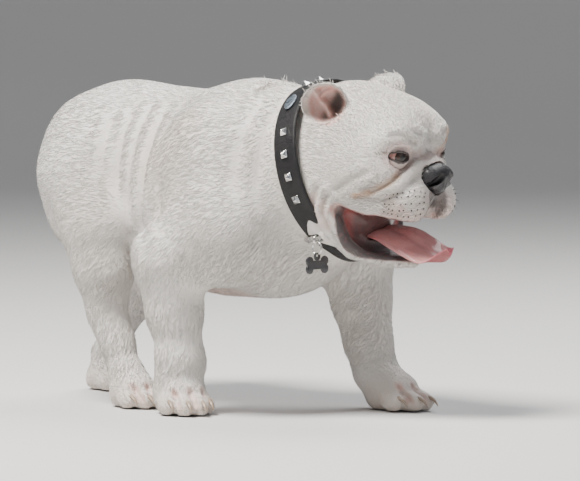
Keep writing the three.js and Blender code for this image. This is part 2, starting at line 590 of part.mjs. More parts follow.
// A metal loop holds the narrow strap, and the tag hangs from its eye on a ring.
const HANG = { from: 240, eye: 5, eyeWire: 1.3, ring: 7, ringWire: 1.2, hole: 2.4 };
const TAG = { length: 36, lobe: 5.6, bar: 10, thickness: 2.4 };
const down = (p, distance) => [p[0], p[1], p[2] - distance];
const torus = (radius, wire) => new THREE.TorusGeometry(radius, wire, 6, 16);
const hangSeat = seat(turnAt(HANG.from));
const eyeAt = vec([0, 0, HANG.eye + 1.8]).applyMatrix4(hangSeat).toArray();
const width = loopWidth(turnAt(HANG.from));
const clasp = placed(new THREE.BoxGeometry(7, width + 7, COLLAR.thickness + 5).translate(0, 0, -COLLAR.thickness / 2), hangSeat)
  .subtract(placed(new THREE.BoxGeometry(9, width + 2 * GAP, COLLAR.thickness + 2 * GAP)
    .translate(0, 0, -COLLAR.thickness / 2 - GAP), hangSeat));
const claspRoom = placed(new THREE.BoxGeometry(8, width + 8, COLLAR.thickness + 6)
  .translate(0, 0, -COLLAR.thickness / 2), hangSeat)
  .add(solid(new THREE.SphereGeometry(8, 12, 8).translate(...eyeAt)));
for (const name of ["neck", "head"]) made[name] = largest(made[name].subtract(claspRoom));
made.collar_clasp = clasp.add(solid(torus(HANG.eye, HANG.eyeWire).rotateY(Math.PI / 2).translate(...eyeAt)));
const ringAt = down(eyeAt, HANG.eye - HANG.eyeWire - HANG.ringWire - GAP + HANG.ring);
made.tag_ring = solid(torus(HANG.ring, HANG.ringWire).rotateX(Math.PI / 2).translate(...ringAt));
const holeAt = down(ringAt, HANG.ring + HANG.hole - HANG.ringWire - GAP);
const disc = (radius, [y, z]) => solid(new THREE.CylinderGeometry(radius, radius, TAG.thickness, 12)
  .rotateZ(Math.PI / 2).translate(0, y, z));
const lobeY = TAG.length / 2 - TAG.lobe, tagZ = -11;
let bone = solid(new THREE.BoxGeometry(TAG.thickness, TAG.length - 2 * TAG.lobe, TAG.bar).translate(0, 0, tagZ));
for (const [y, z] of [[1, 1], [1, -1], [-1, 1], [-1, -1]]) bone = bone.add(disc(TAG.lobe, [y * lobeY, tagZ + z * 4.4]));
bone = bone.add(disc(4.6, [0, -1.6])).subtract(disc(HANG.hole, [0, 0]).scale([2, 1, 1]));
made.tag = bone.translate(holeAt);

// Colours of the sub-parts
const finish = (color, roughness, metalness = 0) => new THREE.MeshStandardMaterial({ color, roughness, metalness });
const FINISHES = [
  [/^eye_/, finish(0x2a1a12, 0.08)],
  [/^eyelids_/, finish(0x5a4644, 0.5)],
  [/^ear_/, finish(0xe3c9c2, 0.8)],
  [/^nose$/, finish(0x2b2a2e, 0.35)],
  [/^tongue$/, finish(0xd98a98, 0.4)],
  [/^lower_jaw$/, finish(0xd9c8bf, 0.75)],
  [/^claw_/, finish(0xcdbfae, 0.4)],
  [/^paw_/, finish(0xe2d3cb, 0.85)],
  [/^(collar|tag)$/, finish(0x1c1b1e, 0.55)],
  [/^collar_plate$/, finish(0x8d97a6, 0.3, 1)],
  [/^(stud_|collar_clasp|tag_ring)/, finish(0xb9bcc2, 0.25, 1)],
  [/./, finish(0xe9e6e4, 0.85)],
];

const dog = new THREE.Group();
dog.name = "english_bulldog";
for (const [name, shape] of Object.entries(made)) {
  const mesh = shape.getMesh();
  const geometry = new THREE.BufferGeometry();
  geometry.setAttribute("position", new THREE.BufferAttribute(mesh.vertProperties, 3));
  geometry.setIndex(new THREE.BufferAttribute(mesh.triVerts, 1));
  const node = new THREE.Mesh(geometry, FINISHES.find(([pattern]) => pattern.test(name))[1]);
  node.name = name;
  dog.add(node);
}

// The origin is the middle of the whole dog, on the floor.
const middle = new THREE.Box3().setFromObject(dog).getCenter(new THREE.Vector3());
for (const node of dog.children) node.geometry.translate(-middle.x, -middle.y, 0);

export default dog;
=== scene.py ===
"""A life-size English bulldog in mid-step, wearing a studded leather collar with a bone-shaped tag.

The flesh solids of the frame become one skin. It is moved onto smooth named masses, creased where the
dog is creased, and dressed in short tufts. Lengths inside the classes are millimetres, in a design frame
with X forward, Y to the dog's left and Z up, unless a name says metres.
"""

import json
import logging
import math
from dataclasses import dataclass, field
from enum import Enum
from typing import Callable

import bmesh
import bpy
import numpy as np
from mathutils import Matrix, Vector
from mathutils.bvhtree import BVHTree

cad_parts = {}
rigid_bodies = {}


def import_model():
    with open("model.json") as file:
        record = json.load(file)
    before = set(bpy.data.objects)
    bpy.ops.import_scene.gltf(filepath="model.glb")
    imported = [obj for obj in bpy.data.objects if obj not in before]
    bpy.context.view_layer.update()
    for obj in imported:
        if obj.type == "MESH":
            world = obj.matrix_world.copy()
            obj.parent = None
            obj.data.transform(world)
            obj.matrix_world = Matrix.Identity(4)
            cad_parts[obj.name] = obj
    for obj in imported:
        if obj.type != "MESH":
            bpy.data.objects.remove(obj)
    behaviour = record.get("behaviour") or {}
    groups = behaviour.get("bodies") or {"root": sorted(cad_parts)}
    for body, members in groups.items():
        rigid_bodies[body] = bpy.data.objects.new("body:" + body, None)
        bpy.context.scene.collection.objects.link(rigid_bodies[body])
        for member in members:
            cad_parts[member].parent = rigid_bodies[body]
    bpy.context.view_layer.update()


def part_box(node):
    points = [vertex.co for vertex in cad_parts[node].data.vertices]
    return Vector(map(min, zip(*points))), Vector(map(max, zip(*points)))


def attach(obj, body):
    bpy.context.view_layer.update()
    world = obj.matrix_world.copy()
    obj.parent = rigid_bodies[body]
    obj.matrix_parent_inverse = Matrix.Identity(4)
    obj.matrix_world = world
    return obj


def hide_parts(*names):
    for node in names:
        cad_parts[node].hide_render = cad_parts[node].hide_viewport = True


LOG = logging.getLogger("bulldog")
MM = 0.001
Array = np.ndarray
UP = (0, 0, 1)
PAW_TOP = 60


class Side(Enum):
    """The dog's own right and left."""

    RIGHT = -1
    LEFT = 1


class Space(Enum):
    """Which frame a stroke's points are written in."""

    BODY = "body"
    HEAD = "head"


# Shapes as distance fields

def ellipsoid(p: Array, centre: tuple, radii: tuple, yaw: float = 0.0, pitch: float = 0.0) -> Array:
    """Distance to an ellipsoid, to first order.

    Args:
        p: points, one row each.
        centre: its middle.
        radii: half sizes along its own axes.
        yaw: turn about Z in degrees.
        pitch: turn about Y in degrees, before the yaw.

    Returns:
        One signed distance for each point, negative inside.
    """
    q = p - np.asarray(centre, float)
    if yaw or pitch:
        a, b = math.radians(yaw), math.radians(pitch)
        rz = np.array([[math.cos(a), -math.sin(a), 0], [math.sin(a), math.cos(a), 0], [0, 0, 1]])
        ry = np.array([[math.cos(b), 0, math.sin(b)], [0, 1, 0], [-math.sin(b), 0, math.cos(b)]])
        q = q @ (rz @ ry)
    r = np.asarray(radii, float)
    near = np.linalg.norm(q / r, axis=1)
    steep = np.linalg.norm(q / (r * r), axis=1) + 1e-9
    return near * (near - 1) / steep


def limb(p: Array, a: tuple, b: tuple, ra: float, rb: float) -> Array:
    """Distance to a rod whose radius runs from ra at a to rb at b."""
    a, b = np.asarray(a, float), np.asarray(b, float)
    u = b - a
    t = np.clip(((p - a) @ u) / (u @ u), 0, 1)
    return np.linalg.norm(p - a - t[:, None] * u, axis=1) - (ra + (rb - ra) * t)


def rods(p: Array, knots: tuple) -> list:
    """Distance to each rod between neighbouring knots; a knot is a point and a radius."""
    return [limb(p, a, b, ra, rb) for (a, ra), (b, rb) in zip(knots[:-1], knots[1:])]


def chain(p: Array, *knots: tuple) -> Array:
    """Distance to the nearest rod of a chain."""
    return np.min(rods(p, knots), axis=0)


def polyline(p: Array, points: tuple) -> Array:
    """Distance to a line through the points."""
    return chain(p, *[(point, 0) for point in points])


def soft_min(a: Array, b: Array, k: float) -> Array:
    """The lower of two distances, rounded where they meet."""
    h = np.maximum(k - np.abs(a - b), 0) / k
    return np.minimum(a, b) - h * h * k * 0.25


def soft_cut(a: Array, b: Array, k: float) -> Array:
    """Shape a with shape b taken out, rounded along the cut."""
    return -soft_min(-a, b, k)


def blend(k: float, *fields: Array) -> Array:
    """All the shapes joined by soft_min."""
    total = fields[0]
    for other in fields[1:]:
        total = soft_min(total, other, k)
    return total


def mirrored(p: Array) -> Array:
    """The points with their Y folded onto the left side."""
    return np.column_stack([p[:, 0], np.abs(p[:, 1]), p[:, 2]])


def smoothstep(x: Array, low: float, high: float) -> Array:
    """0 below low, 1 above high, and a smooth rise between; low may be the higher."""
    t = np.clip((x - low) / (high - low), 0, 1)
    return t * t * (3 - 2 * t)


@dataclass(frozen=True)
class HeadFrame:
    """The head's own axes: forward, left and up from the middle of the line between the ear roots."""

    centre: tuple = (186, 10, 348)
    yaw: float = 13
    nose_up: float = -8

    def axes(self) -> Array:
        """Rows: forward, left and up, in the body's frame."""
        a, b = math.radians(self.yaw), math.radians(self.nose_up)
        forward = [math.cos(a) * math.cos(b), math.sin(a) * math.cos(b), math.sin(b)]
        left = [-math.sin(a), math.cos(a), 0]
        return np.array([forward, left, np.cross(forward, left)])

    def body(self, q: Array) -> Array:
        """Points of the head's frame in the body's."""
        return np.asarray(self.centre) + q @ self.axes()

    def local(self, p: Array) -> Array:
        """Points of the body's frame in the head's."""
        return (p - np.asarray(self.centre, float)) @ self.axes().T

    @staticmethod
    def share(q: Array) -> Array:
        """How far each point of the head's frame is part of the head: 0 on the neck, 1 from the ears on."""
        return smoothstep(q[:, 0], -60, -20)


HEAD = HeadFrame()


@dataclass(frozen=True)
class Paw:
    """One paw: its middle on the floor, which way it points, and its size."""

    at: tuple
    heading: float
    size: float = 1.0
    toes: tuple = ((14, -25, 0.92), (29, -9.5, 1.05), (30, 8.5, 1.05), (15, 24, 0.92))

    def place(self, forward: float, outward: float, up: float) -> Array:
        """A point of the paw, scaled, in the body's frame."""
        c, s = math.cos(math.radians(self.heading)), math.sin(math.radians(self.heading))
        f, o, h = forward * self.size, outward * self.size, up * self.size
        return np.array([self.at[0] + c * f - s * o, self.at[1] + s * f + c * o, h])

    def shape(self, p: Array) -> Array:
        """Distance to the paw."""
        k = self.size
        toes = [ellipsoid(p, self.place(f, o, 11), (17 * k * n, 10.5 * k * n, 13 * k * n), self.heading, 8)
                for f, o, n in self.toes]
        pad = blend(12, ellipsoid(p, self.place(-4, 0, 19), (32 * k, 27 * k, 22 * k), self.heading),
                    ellipsoid(p, self.place(-14, 0, 10), (20 * k, 22 * k, 12 * k), self.heading))
        return blend(5, pad, *toes)


@dataclass(frozen=True)
class Leg:
    """One leg: its bones as (point, radius), the elbow or hock, and its paw."""

    bones: tuple
    point: tuple
    paw: Paw

    def shape(self, p: Array) -> Array:
        """Distance to the leg and its paw."""
        (tip, r), (foot, rf) = self.point, self.bones[-1]
        x, y, _ = self.paw.at
        ankle = limb(p, foot, (x, y, 24 * self.paw.size), rf, 22 * self.paw.size)
        point = limb(p, tip, self.bones[3][0], r, 8)
        return blend(14, blend(22, *rods(p, self.bones)), point, ankle, self.paw.shape(p))


LEGS = {
    "fore_right": Leg((((66, -98, 215), 56), ((0, -112, 176), 40), ((2, -108, 120), 30),
                       ((7, -103, 60), 25), ((4, -104, 30), 25)),
                      ((-26, -116, 188), 18), Paw((12, -106, 0), -24)),
    "fore_left": Leg((((92, 98, 218), 54), ((84, 111, 172), 41), ((98, 106, 124), 32),
                      ((112, 102, 78), 25), ((126, 100, 42), 24)),
                     ((54, 114, 170), 17), Paw((158, 99, 0), 4)),
    "hind_right": Leg((((-176, -72, 270), 58), ((-140, -88, 212), 42), ((-132, -88, 160), 33),
                       ((-132, -84, 112), 20), ((-118, -82, 78), 17), ((-100, -82, 36), 19)),
                      ((-138, -83, 96), 10), Paw((-86, -83, 0), -8, 0.9)),
    "hind_left": Leg((((-190, 70, 270), 57), ((-190, 84, 212), 42), ((-198, 80, 165), 34),
                      ((-232, 70, 116), 20), ((-250, 64, 92), 17), ((-270, 58, 44), 19)),
                     ((-260, 66, 102), 10), Paw((-266, 57, 0), 4, 0.9)),
}


@dataclass(frozen=True)
class Eye:
    """The left eye in the head's frame: the way its lids open is gaze, the way its iris points is looks."""

    at: tuple = (74, 44, -37)
    radius: float = 12.5
    gaze: tuple = (0.8, 0.6, 0.02)
    socket: float = 14.6
    looks: tuple = (0.91, 0.42, -0.04)

    def away(self, m: Array) -> Array:
        """Distance of points of the mirrored head frame from the eye's middle."""
        return np.linalg.norm(m - np.asarray(self.at), axis=1)


EYE = Eye()


@dataclass(frozen=True)
class Ear:
    """One ear cup: the middle of its opening, and the way it opens, in the head's frame."""

    at: tuple
    opens: tuple = (0.42, 0.9, 0.02)
    reach: float = 24
    ridge: tuple = ((15, -11, 0), (9, -3, 0), (2, 2, 0), (-3, 9, 0))
    lobe: tuple = ((-2, -15, 0), (5, -12, 0), (9, -6, 0))

    def local(self, m: Array) -> Array:
        """Points of the mirrored head frame as back, rise and out from the ear's middle."""
        out = np.asarray(self.opens) / np.linalg.norm(self.opens)
        back = np.cross(out, [0, 0, -1])
        back /= np.linalg.norm(back)
        return (m - np.asarray(self.at, float)) @ np.array([back, np.cross(out, back) * -1, out]).T

    def relief(self, flat: Array) -> Array:
        """How far the folds inside the cup stand up, over points with their out set to zero."""
        ridge = np.exp(-(polyline(flat, self.ridge) / 3.6) ** 2)
        return np.maximum(ridge, 0.7 * np.exp(-(polyline(flat, self.lobe) / 3.0) ** 2))

    def outward(self, side: Side) -> Array:
        """The way the cup of one side opens, in the head's frame."""
        return np.asarray(self.opens) * np.array([1, side.value, 1])


EARS = {Side.RIGHT: Ear((-15, 57, 7)), Side.LEFT: Ear((-4, 56, 8))}


@dataclass(frozen=True)
class Masses:
    """The named masses of the flesh."""

    head: HeadFrame = HEAD

    def trunk(self, p: Array) -> Array:
        """The barrel and what bulges from its sides."""
        q = mirrored(p)
        ribs = ellipsoid(q, (5, 0, 248), (155, 116, 119))
        forechest = ellipsoid(q, (76, 0, 230), (70, 104, 90))
        withers = ellipsoid(q, (38, 0, 290), (95, 80, 68))
        loin = ellipsoid(q, (-110, 0, 291), (120, 86, 82))
        rump = ellipsoid(q, (-181, 0, 290), (82, 90, 86))
        shoulder = ellipsoid(q, (42, 84, 258), (64, 48, 92), 0, -14)
        upper_arm = ellipsoid(q, (70, 92, 210), (54, 42, 56))
        thigh = ellipsoid(q, (-190, 60, 262), (64, 44, 90))
        return blend(34, ribs, forechest, withers, loin, rump, shoulder, upper_arm, thigh)

    def neck(self, p: Array) -> Array:
        """Nape, throat and dewlap."""
        nape = limb(p, (40, 0, 282), (150, 6, 284), 96, 84)
        throat = limb(p, (60, 0, 240), (150, 6, 270), 82, 66)
        dewlap = limb(p, (120, 4, 216), (178, 8, 224), 44, 33)
        return blend(30, nape, throat, dewlap)

    def skull(self, q: Array) -> Array:
        """The upper head without the muzzle, in the head's frame."""
        cranium = ellipsoid(q, (0, 0, -26), (74, 70, 62))
        forehead = ellipsoid(q, (44, 26, -14), (44, 37, 37))
        furrow_floor = ellipsoid(q, (36, 0, -12), (50, 40, 38))
        brow = ellipsoid(q, (71, 38, -10), (15, 17, 13))
        brow_line = limb(q, (80, 20, -20), (62, 54, -24), 13, 15)
        cheek = ellipsoid(q, (14, 44, -66), (62, 42, 58))
        jowl = ellipsoid(q, (2, 46, -108), (46, 32, 42))
        under_eye = ellipsoid(q, (56, 34, -62), (36, 34, 34))
        return blend(16, cranium, forehead, furrow_floor, brow, brow_line, cheek, jowl, under_eye)

    def muzzle(self, q: Array) -> Array:
        """Muzzle core, flews and the bed of the nose, in the head's frame."""
        core = ellipsoid(q, (66, 0, -72), (40, 44, 40))
        flews = ellipsoid(q, (79, 31, -86), (36, 28, 30))
        return blend(9, core, flews, ellipsoid(q, (98, 0, -62), (13, 27, 18)))

    def roll(self, q: Array) -> Array:
        """The roll over the nose, which runs down each side to the corner of the mouth."""
        return chain(q, ((95, 0, -41), 12.5), ((91, 22, -45), 12.5), ((87, 39, -58), 12),
                     ((83, 52, -68), 11), ((65, 62, -79), 9.5), ((44, 71, -86), 7))

    def lower_lip(self, q: Array) -> Array:
        """The rim of the lower lip."""
        return chain(q, ((23, 70, -114), 5.5), ((29, 67, -130), 6), ((36, 60, -144), 6.5),
                     ((48, 50, -153), 6.5), ((66, 34, -158), 6.5), ((80, 20, -159), 6.5),
                     ((88, 0, -159), 6.5))

    def mouth(self, q: Array) -> Array:
        """Distance to the open mouth, which runs right across and widens forward."""
        flat = np.column_stack([q[:, 0], np.zeros(len(q)), q[:, 2]])
        return chain(flat, ((27, 0, -106), 5), ((54, 0, -131), 21), ((112, 0, -131), 20))

    def throat(self, q: Array) -> Array:
        """Distance to the room inside the mouth."""
        return ellipsoid(q, (42, 0, -122), (38, 36, 24))

    def gape(self, q: Array) -> Array:
        """Distance to the open mouth and the room inside it."""
        return np.minimum(self.mouth(q), self.throat(q))

    def jaw(self, q: Array) -> Array:
        """Lower jaw and chin, in the head's frame."""
        bone = limb(q, (10, 44, -122), (54, 28, -150), 24, 15)
        corner = limb(q, (12, 68, -106), (36, 50, -148), 13, 12)
        return blend(14, bone, corner, ellipsoid(q, (58, 10, -153), (25, 24, 15)))

    def head_shape(self, p: Array) -> Array:
        """Distance to the head with its open mouth."""
        q = self.head.local(p)
        m = mirrored(q)
        d = soft_min(self.skull(m), self.muzzle(m), 12)
        d = soft_min(d, self.roll(m), 6)
        tear = polyline(m, ((90, 18, -34), (89, 33, -39), (87, 50, -52),
                            (84, 60, -62), (76, 67, -70), (62, 72, -76)))
        under = polyline(m, ((105, 27, -45), (99, 40, -60), (88, 59, -78), (72, 67, -87), (46, 76, -93)))
        stop = polyline(m, ((101, 0, -30), (94, 24, -32)))
        d += 4 * np.exp(-(tear / 7) ** 2) + 2.8 * np.exp(-(under / 6) ** 2) + 6 * np.exp(-(stop / 8) ** 2)
        d = soft_min(d, self.jaw(m), 10)
        d = soft_cut(d, self.mouth(q), 5)
        d = soft_cut(d, self.throat(q), 8)
        return soft_min(d, self.lower_lip(m), 8)

    def tail(self, p: Array) -> Array:
        """The short kinked tail."""
        return chain(p, ((-252, 0, 318), 17), ((-272, 2, 300), 13), ((-278, 6, 276), 9),
                     ((-274, 12, 262), 5))

    def whole(self, p: Array) -> Array:
        """Distance to all the flesh."""
        d = soft_min(self.trunk(p), self.neck(p), 40)
        for leg in LEGS.values():
            d = soft_min(d, leg.shape(p), 20)
        d = np.where(p[:, 0] > 60, soft_min(d, self.head_shape(p), 14), d)
        m = mirrored(self.head.local(p))
        d = soft_cut(d, EYE.away(m) - EYE.socket, 2)
        return soft_min(d, self.tail(p), 6)


MASSES = Masses()


@dataclass(frozen=True)
class Stroke:
    """A crease or a ridge along a line on the skin.

    Depth is positive for a crease, and shoulder is how far the skin swells beside it.
    """

    space: Space
    points: tuple
    width: float
    depth: float
    shoulder: float = 0.0
    both: bool = True

    def sink(self, body: Array, head: Array) -> Array:
        """How far each point goes in.

        Args:
            body: points in the body's frame.
            head: the same points in the head's frame.

        Returns:
            Millimetres inwards for each point.
        """
        p = head if self.space is Space.HEAD else body
        p = mirrored(p) if self.both else p
        d = polyline(p, self.points) / self.width
        return self.depth * np.exp(-d ** 2) - self.shoulder * np.exp(-((d - 2.1) / 1.1) ** 2)


H, B = Space.HEAD, Space.BODY
CREASES = (
    # face: tear crease, under the roll, stop, two on the brow, furrow, two on the jowl, cheek, philtrum
    Stroke(H, ((88, 31, -38), (86, 41, -46), (84, 52, -57), (81, 59, -64), (74, 64, -70), (63, 70, -79)),
           2.4, 3.0, 0.8),
    Stroke(H, ((102, 22, -45), (97, 36, -58), (86, 56, -78), (71, 63, -86), (45, 76, -89)), 2.6, 1.4, 0.5),
    Stroke(H, ((99, 0, -29), (94, 16, -29), (88, 28, -34)), 3, 3.0, 1.0),
    Stroke(H, ((93, 34, -20), (92, 47, -14), (86, 55, -10), (76, 63, -12)), 3.0, 2.4, 1.1),
    Stroke(H, ((92, 24, -11), (93, 40, -6), (87, 54, -1), (76, 62, 0)), 3.2, 1.5, 0.8),
    Stroke(H, ((88, 8, -2), (80, 8, 8), (64, 6, 20)), 4, 1.4, 0.7),
    Stroke(H, ((13, 83, -90), (9, 80, -110), (16, 73, -127), (26, 64, -141), (43, 58, -153)),
           3.6, 4.0, 1.8),
    Stroke(H, ((0, 84, -86), (-6, 80, -108), (2, 74, -130), (16, 62, -146)), 4.5, 2.2, 1.2),
    Stroke(H, ((56, 76, -58), (40, 80, -68), (24, 84, -82)), 4, 1.5, 0.9),
    Stroke(H, ((112, 0, -74), (114, 0, -86), (108, 0, -104)), 1.8, 2.6, 0.6),
    # neck and shoulder
    Stroke(B, ((112, 40, 366), (118, 78, 330), (122, 96, 284), (120, 92, 240)), 6, 2.6, 1.4),
    Stroke(B, ((92, 60, 352), (98, 96, 312), (102, 112, 264), (104, 108, 226)), 8, 2.0, 1.2),
    Stroke(B, ((20, 88, 330), (0, 112, 284), (-6, 122, 236), (-18, 120, 206)), 10, 2.6, 1.2),
    # flank wrinkles
    Stroke(B, ((-56, 70, 352), (-52, 96, 308), (-50, 104, 262), (-58, 98, 214)), 8, 2.4, 1.4),
    Stroke(B, ((-80, 66, 350), (-78, 90, 300), (-80, 94, 250), (-86, 84, 206)), 7, 2.2, 1.4),
    Stroke(B, ((-104, 72, 342), (-104, 90, 296), (-108, 90, 248), (-112, 84, 214)), 7, 2.0, 1.2),
    Stroke(B, ((-128, 80, 330), (-126, 94, 288), (-126, 96, 244)), 8, 1.8, 1.2),
    # haunch, elbow and belly
    Stroke(B, ((-150, 104, 216), (-176, 108, 200), (-206, 104, 196)), 9, 1.4, 1.0),
    Stroke(B, ((-20, 140, 206), (0, 146, 190), (24, 142, 184)), 8, 1.8, 1.0),
)


# Lines along which shade is only painted into the colour, not sunk into the skin: below the eye, under the
# roll, stop, brow, temple
PAINTED_SHADE_LINES = (
    Stroke(H, ((85, 29, -33), (87, 29, -40), (86, 47, -52), (82, 58, -62), (74, 64, -70), (52, 75, -86)),
           5, 2.2),
    Stroke(H, ((102, 22, -45), (97, 36, -58), (86, 56, -78), (71, 63, -86), (45, 76, -89)), 5, 1.5),
    Stroke(H, ((96, 0, -29), (92, 20, -31)), 6, 2.4),
    Stroke(H, ((94, 34, -21), (90, 48, -18), (80, 62, -20), (70, 68, -28)), 6, 1.5),
    Stroke(H, ((82, 66, -46), (74, 70, -44), (66, 72, -38)), 4, 1.0),
)


def paw_creases() -> list:
    """The lines between the toes of every paw."""
    strokes = []
    for leg in LEGS.values():
        paw = leg.paw
        for (f0, o0, _), (f1, o1, _) in zip(paw.toes[:-1], paw.toes[1:]):
            f, o = (f0 + f1) / 2, (o0 + o1) / 2
            line = tuple(tuple(paw.place(f + df, o * (1 + 0.012 * df), h))
                         for df, h in ((20, 4), (17, 12), (8, 21), (-6, 30)))
            strokes.append(Stroke(B, line, 2.4, 3.0, 0.7, False))
    return strokes


# Mesh helpers

def mesh_arrays(mesh: bpy.types.Mesh) -> tuple:
    """The vertices and the triangles of a mesh as arrays."""
    mesh.calc_loop_triangles()
    co = np.empty(len(mesh.vertices) * 3)
    mesh.vertices.foreach_get("co", co)
    tri = np.empty(len(mesh.loop_triangles) * 3, np.int32)
    mesh.loop_triangles.foreach_get("vertices", tri)
    return co.reshape(-1, 3), tri.reshape(-1, 3)


def new_piece(name: str, verts: Array, faces: Array) -> bpy.types.Object:
    """A smooth-shaded object from vertices in metres and faces of one size."""
    mesh = bpy.data.meshes.new(name)
    mesh.vertices.add(len(verts))
    mesh.vertices.foreach_set("co", np.asarray(verts, np.float32).ravel())
    sides = faces.shape[1]
    mesh.loops.add(faces.size)
    mesh.polygons.add(len(faces))
    mesh.loops.foreach_set("vertex_index", faces.astype(np.int32).ravel())
    mesh.polygons.foreach_set("loop_start", np.arange(len(faces), dtype=np.int32) * sides)
    mesh.update(calc_edges=True)
    mesh.validate()
    mesh.shade_smooth()
    obj = bpy.data.objects.new(name, mesh)
    bpy.context.scene.collection.objects.link(obj)
    return obj


def unit_ball(make: Callable, **settings: int) -> tuple:
    """The vertices and triangles of a ball of radius one."""
    ball = bmesh.new()
    make(ball, radius=1.0, **settings)
    mesh = bpy.data.meshes.new("ball")
    ball.to_mesh(mesh)
    ball.free()
    arrays = mesh_arrays(mesh)
    bpy.data.meshes.remove(mesh)
    return arrays


def ring_faces(rings: int, around: int) -> Array:
    """Triangles between neighbouring closed rings of vertices."""
    here = np.arange(around)
    after = (here + 1) % around
    faces = []
    for start in range(0, (rings - 1) * around, around):
        a, b = start + here, start + after
        faces += [np.column_stack([a, b, b + around]), np.column_stack([a, b + around, a + around])]
    return np.concatenate(faces)


def fan_faces(start: int, around: int, tip: int) -> Array:
    """Triangles from one closed ring of vertices to a tip."""
    here = np.arange(around)
    return np.column_stack([start + here, start + (here + 1) % around, np.full(around, tip)])


def normals_of(verts: Array, tris: Array) -> Array:
    """Area-weighted vertex normals."""
    face = np.cross(verts[tris[:, 1]] - verts[tris[:, 0]], verts[tris[:, 2]] - verts[tris[:, 0]])
    total = np.zeros_like(verts)
    for corner in range(3):
        np.add.at(total, tris[:, corner], face)
    return total / (np.linalg.norm(total, axis=1, keepdims=True) + 1e-12)


def smoothed(verts: Array, tris: Array, rounds: int, amount: Array) -> Array:
    """Vertices moved towards the middle of their neighbours.

    Args:
        verts: the vertices.
        tris: the triangles.
        rounds: how many times.
        amount: how far for each vertex, 0 to 1.

    Returns:
        The moved vertices.
    """
    pairs = np.concatenate([tris[:, [0, 1]], tris[:, [1, 2]], tris[:, [2, 0]]])
    count = np.bincount(pairs.ravel(), minlength=len(verts))[:, None] + 1e-9
    out = verts.copy()
    for _ in range(rounds):
        total = np.column_stack([
            np.bincount(pairs[:, 0], out[pairs[:, 1], k], len(out)) +
            np.bincount(pairs[:, 1], out[pairs[:, 0], k], len(out)) for k in range(3)])
        out += (total / count - out) * amount[:, None]
    return out


def set_attribute(mesh: bpy.types.Mesh, name: str, values: Array) -> None:
    """Stores one number for each vertex."""
    attribute = mesh.attributes.new(name, "FLOAT", "POINT")
    attribute.data.foreach_set("value", np.asarray(values, np.float32))


def noise(p: Array, size: float, seed: int = 0) -> Array:
    """Smooth value noise.

    Args:
        p: points.
        size: the size of its bumps, in the unit of p.
        seed: picks the pattern.

    Returns:
        A value from 0 to 1 for each point.
    """
    q = p / size + 1000.0
    cell = np.floor(q).astype(np.int64)
    t = q - cell
    t = t * t * (3 - 2 * t)
    total = np.zeros(len(p))
    for corner in range(8):
        bits = np.array([corner & 1, corner >> 1 & 1, corner >> 2 & 1])
        key = (cell + bits) * np.array([73856093, 19349663, 83492791])
        mixed = (key[:, 0] ^ key[:, 1] ^ key[:, 2]) + seed * 2654435761
        mixed = (mixed ^ (mixed >> 13)) * 1274126177 & 0x7FFFFFFF
        weight = np.prod(np.where(bits, t, 1 - t), axis=1)
        total += weight * ((mixed ^ (mixed >> 11)) % 65536) / 65535.0
    return total


@dataclass
class Placement:
    """Turns the design frame, in millimetres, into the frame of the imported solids, in metres."""

    head: HeadFrame = HEAD
    eye: Eye = EYE
    shift: Array = field(default_factory=lambda: np.zeros(3))

    def fit(self) -> "Placement":
        """Finds the shift from the right eye's solid."""
        low, high = (np.array(c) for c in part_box("eye_right"))
        x, y, z = self.eye.at
        self.shift = (low + high) / 2 - self.head.body(np.array([x, -y, z])) * MM
        self.shift[2] = 0.0
        return self

    def metres(self, p: Array) -> Array:
        """Design millimetres to frame metres."""
        return np.asarray(p) * MM + self.shift

    def design(self, p: Array) -> Array:
        """Frame metres to design millimetres."""
        return (np.asarray(p) - self.shift) / MM


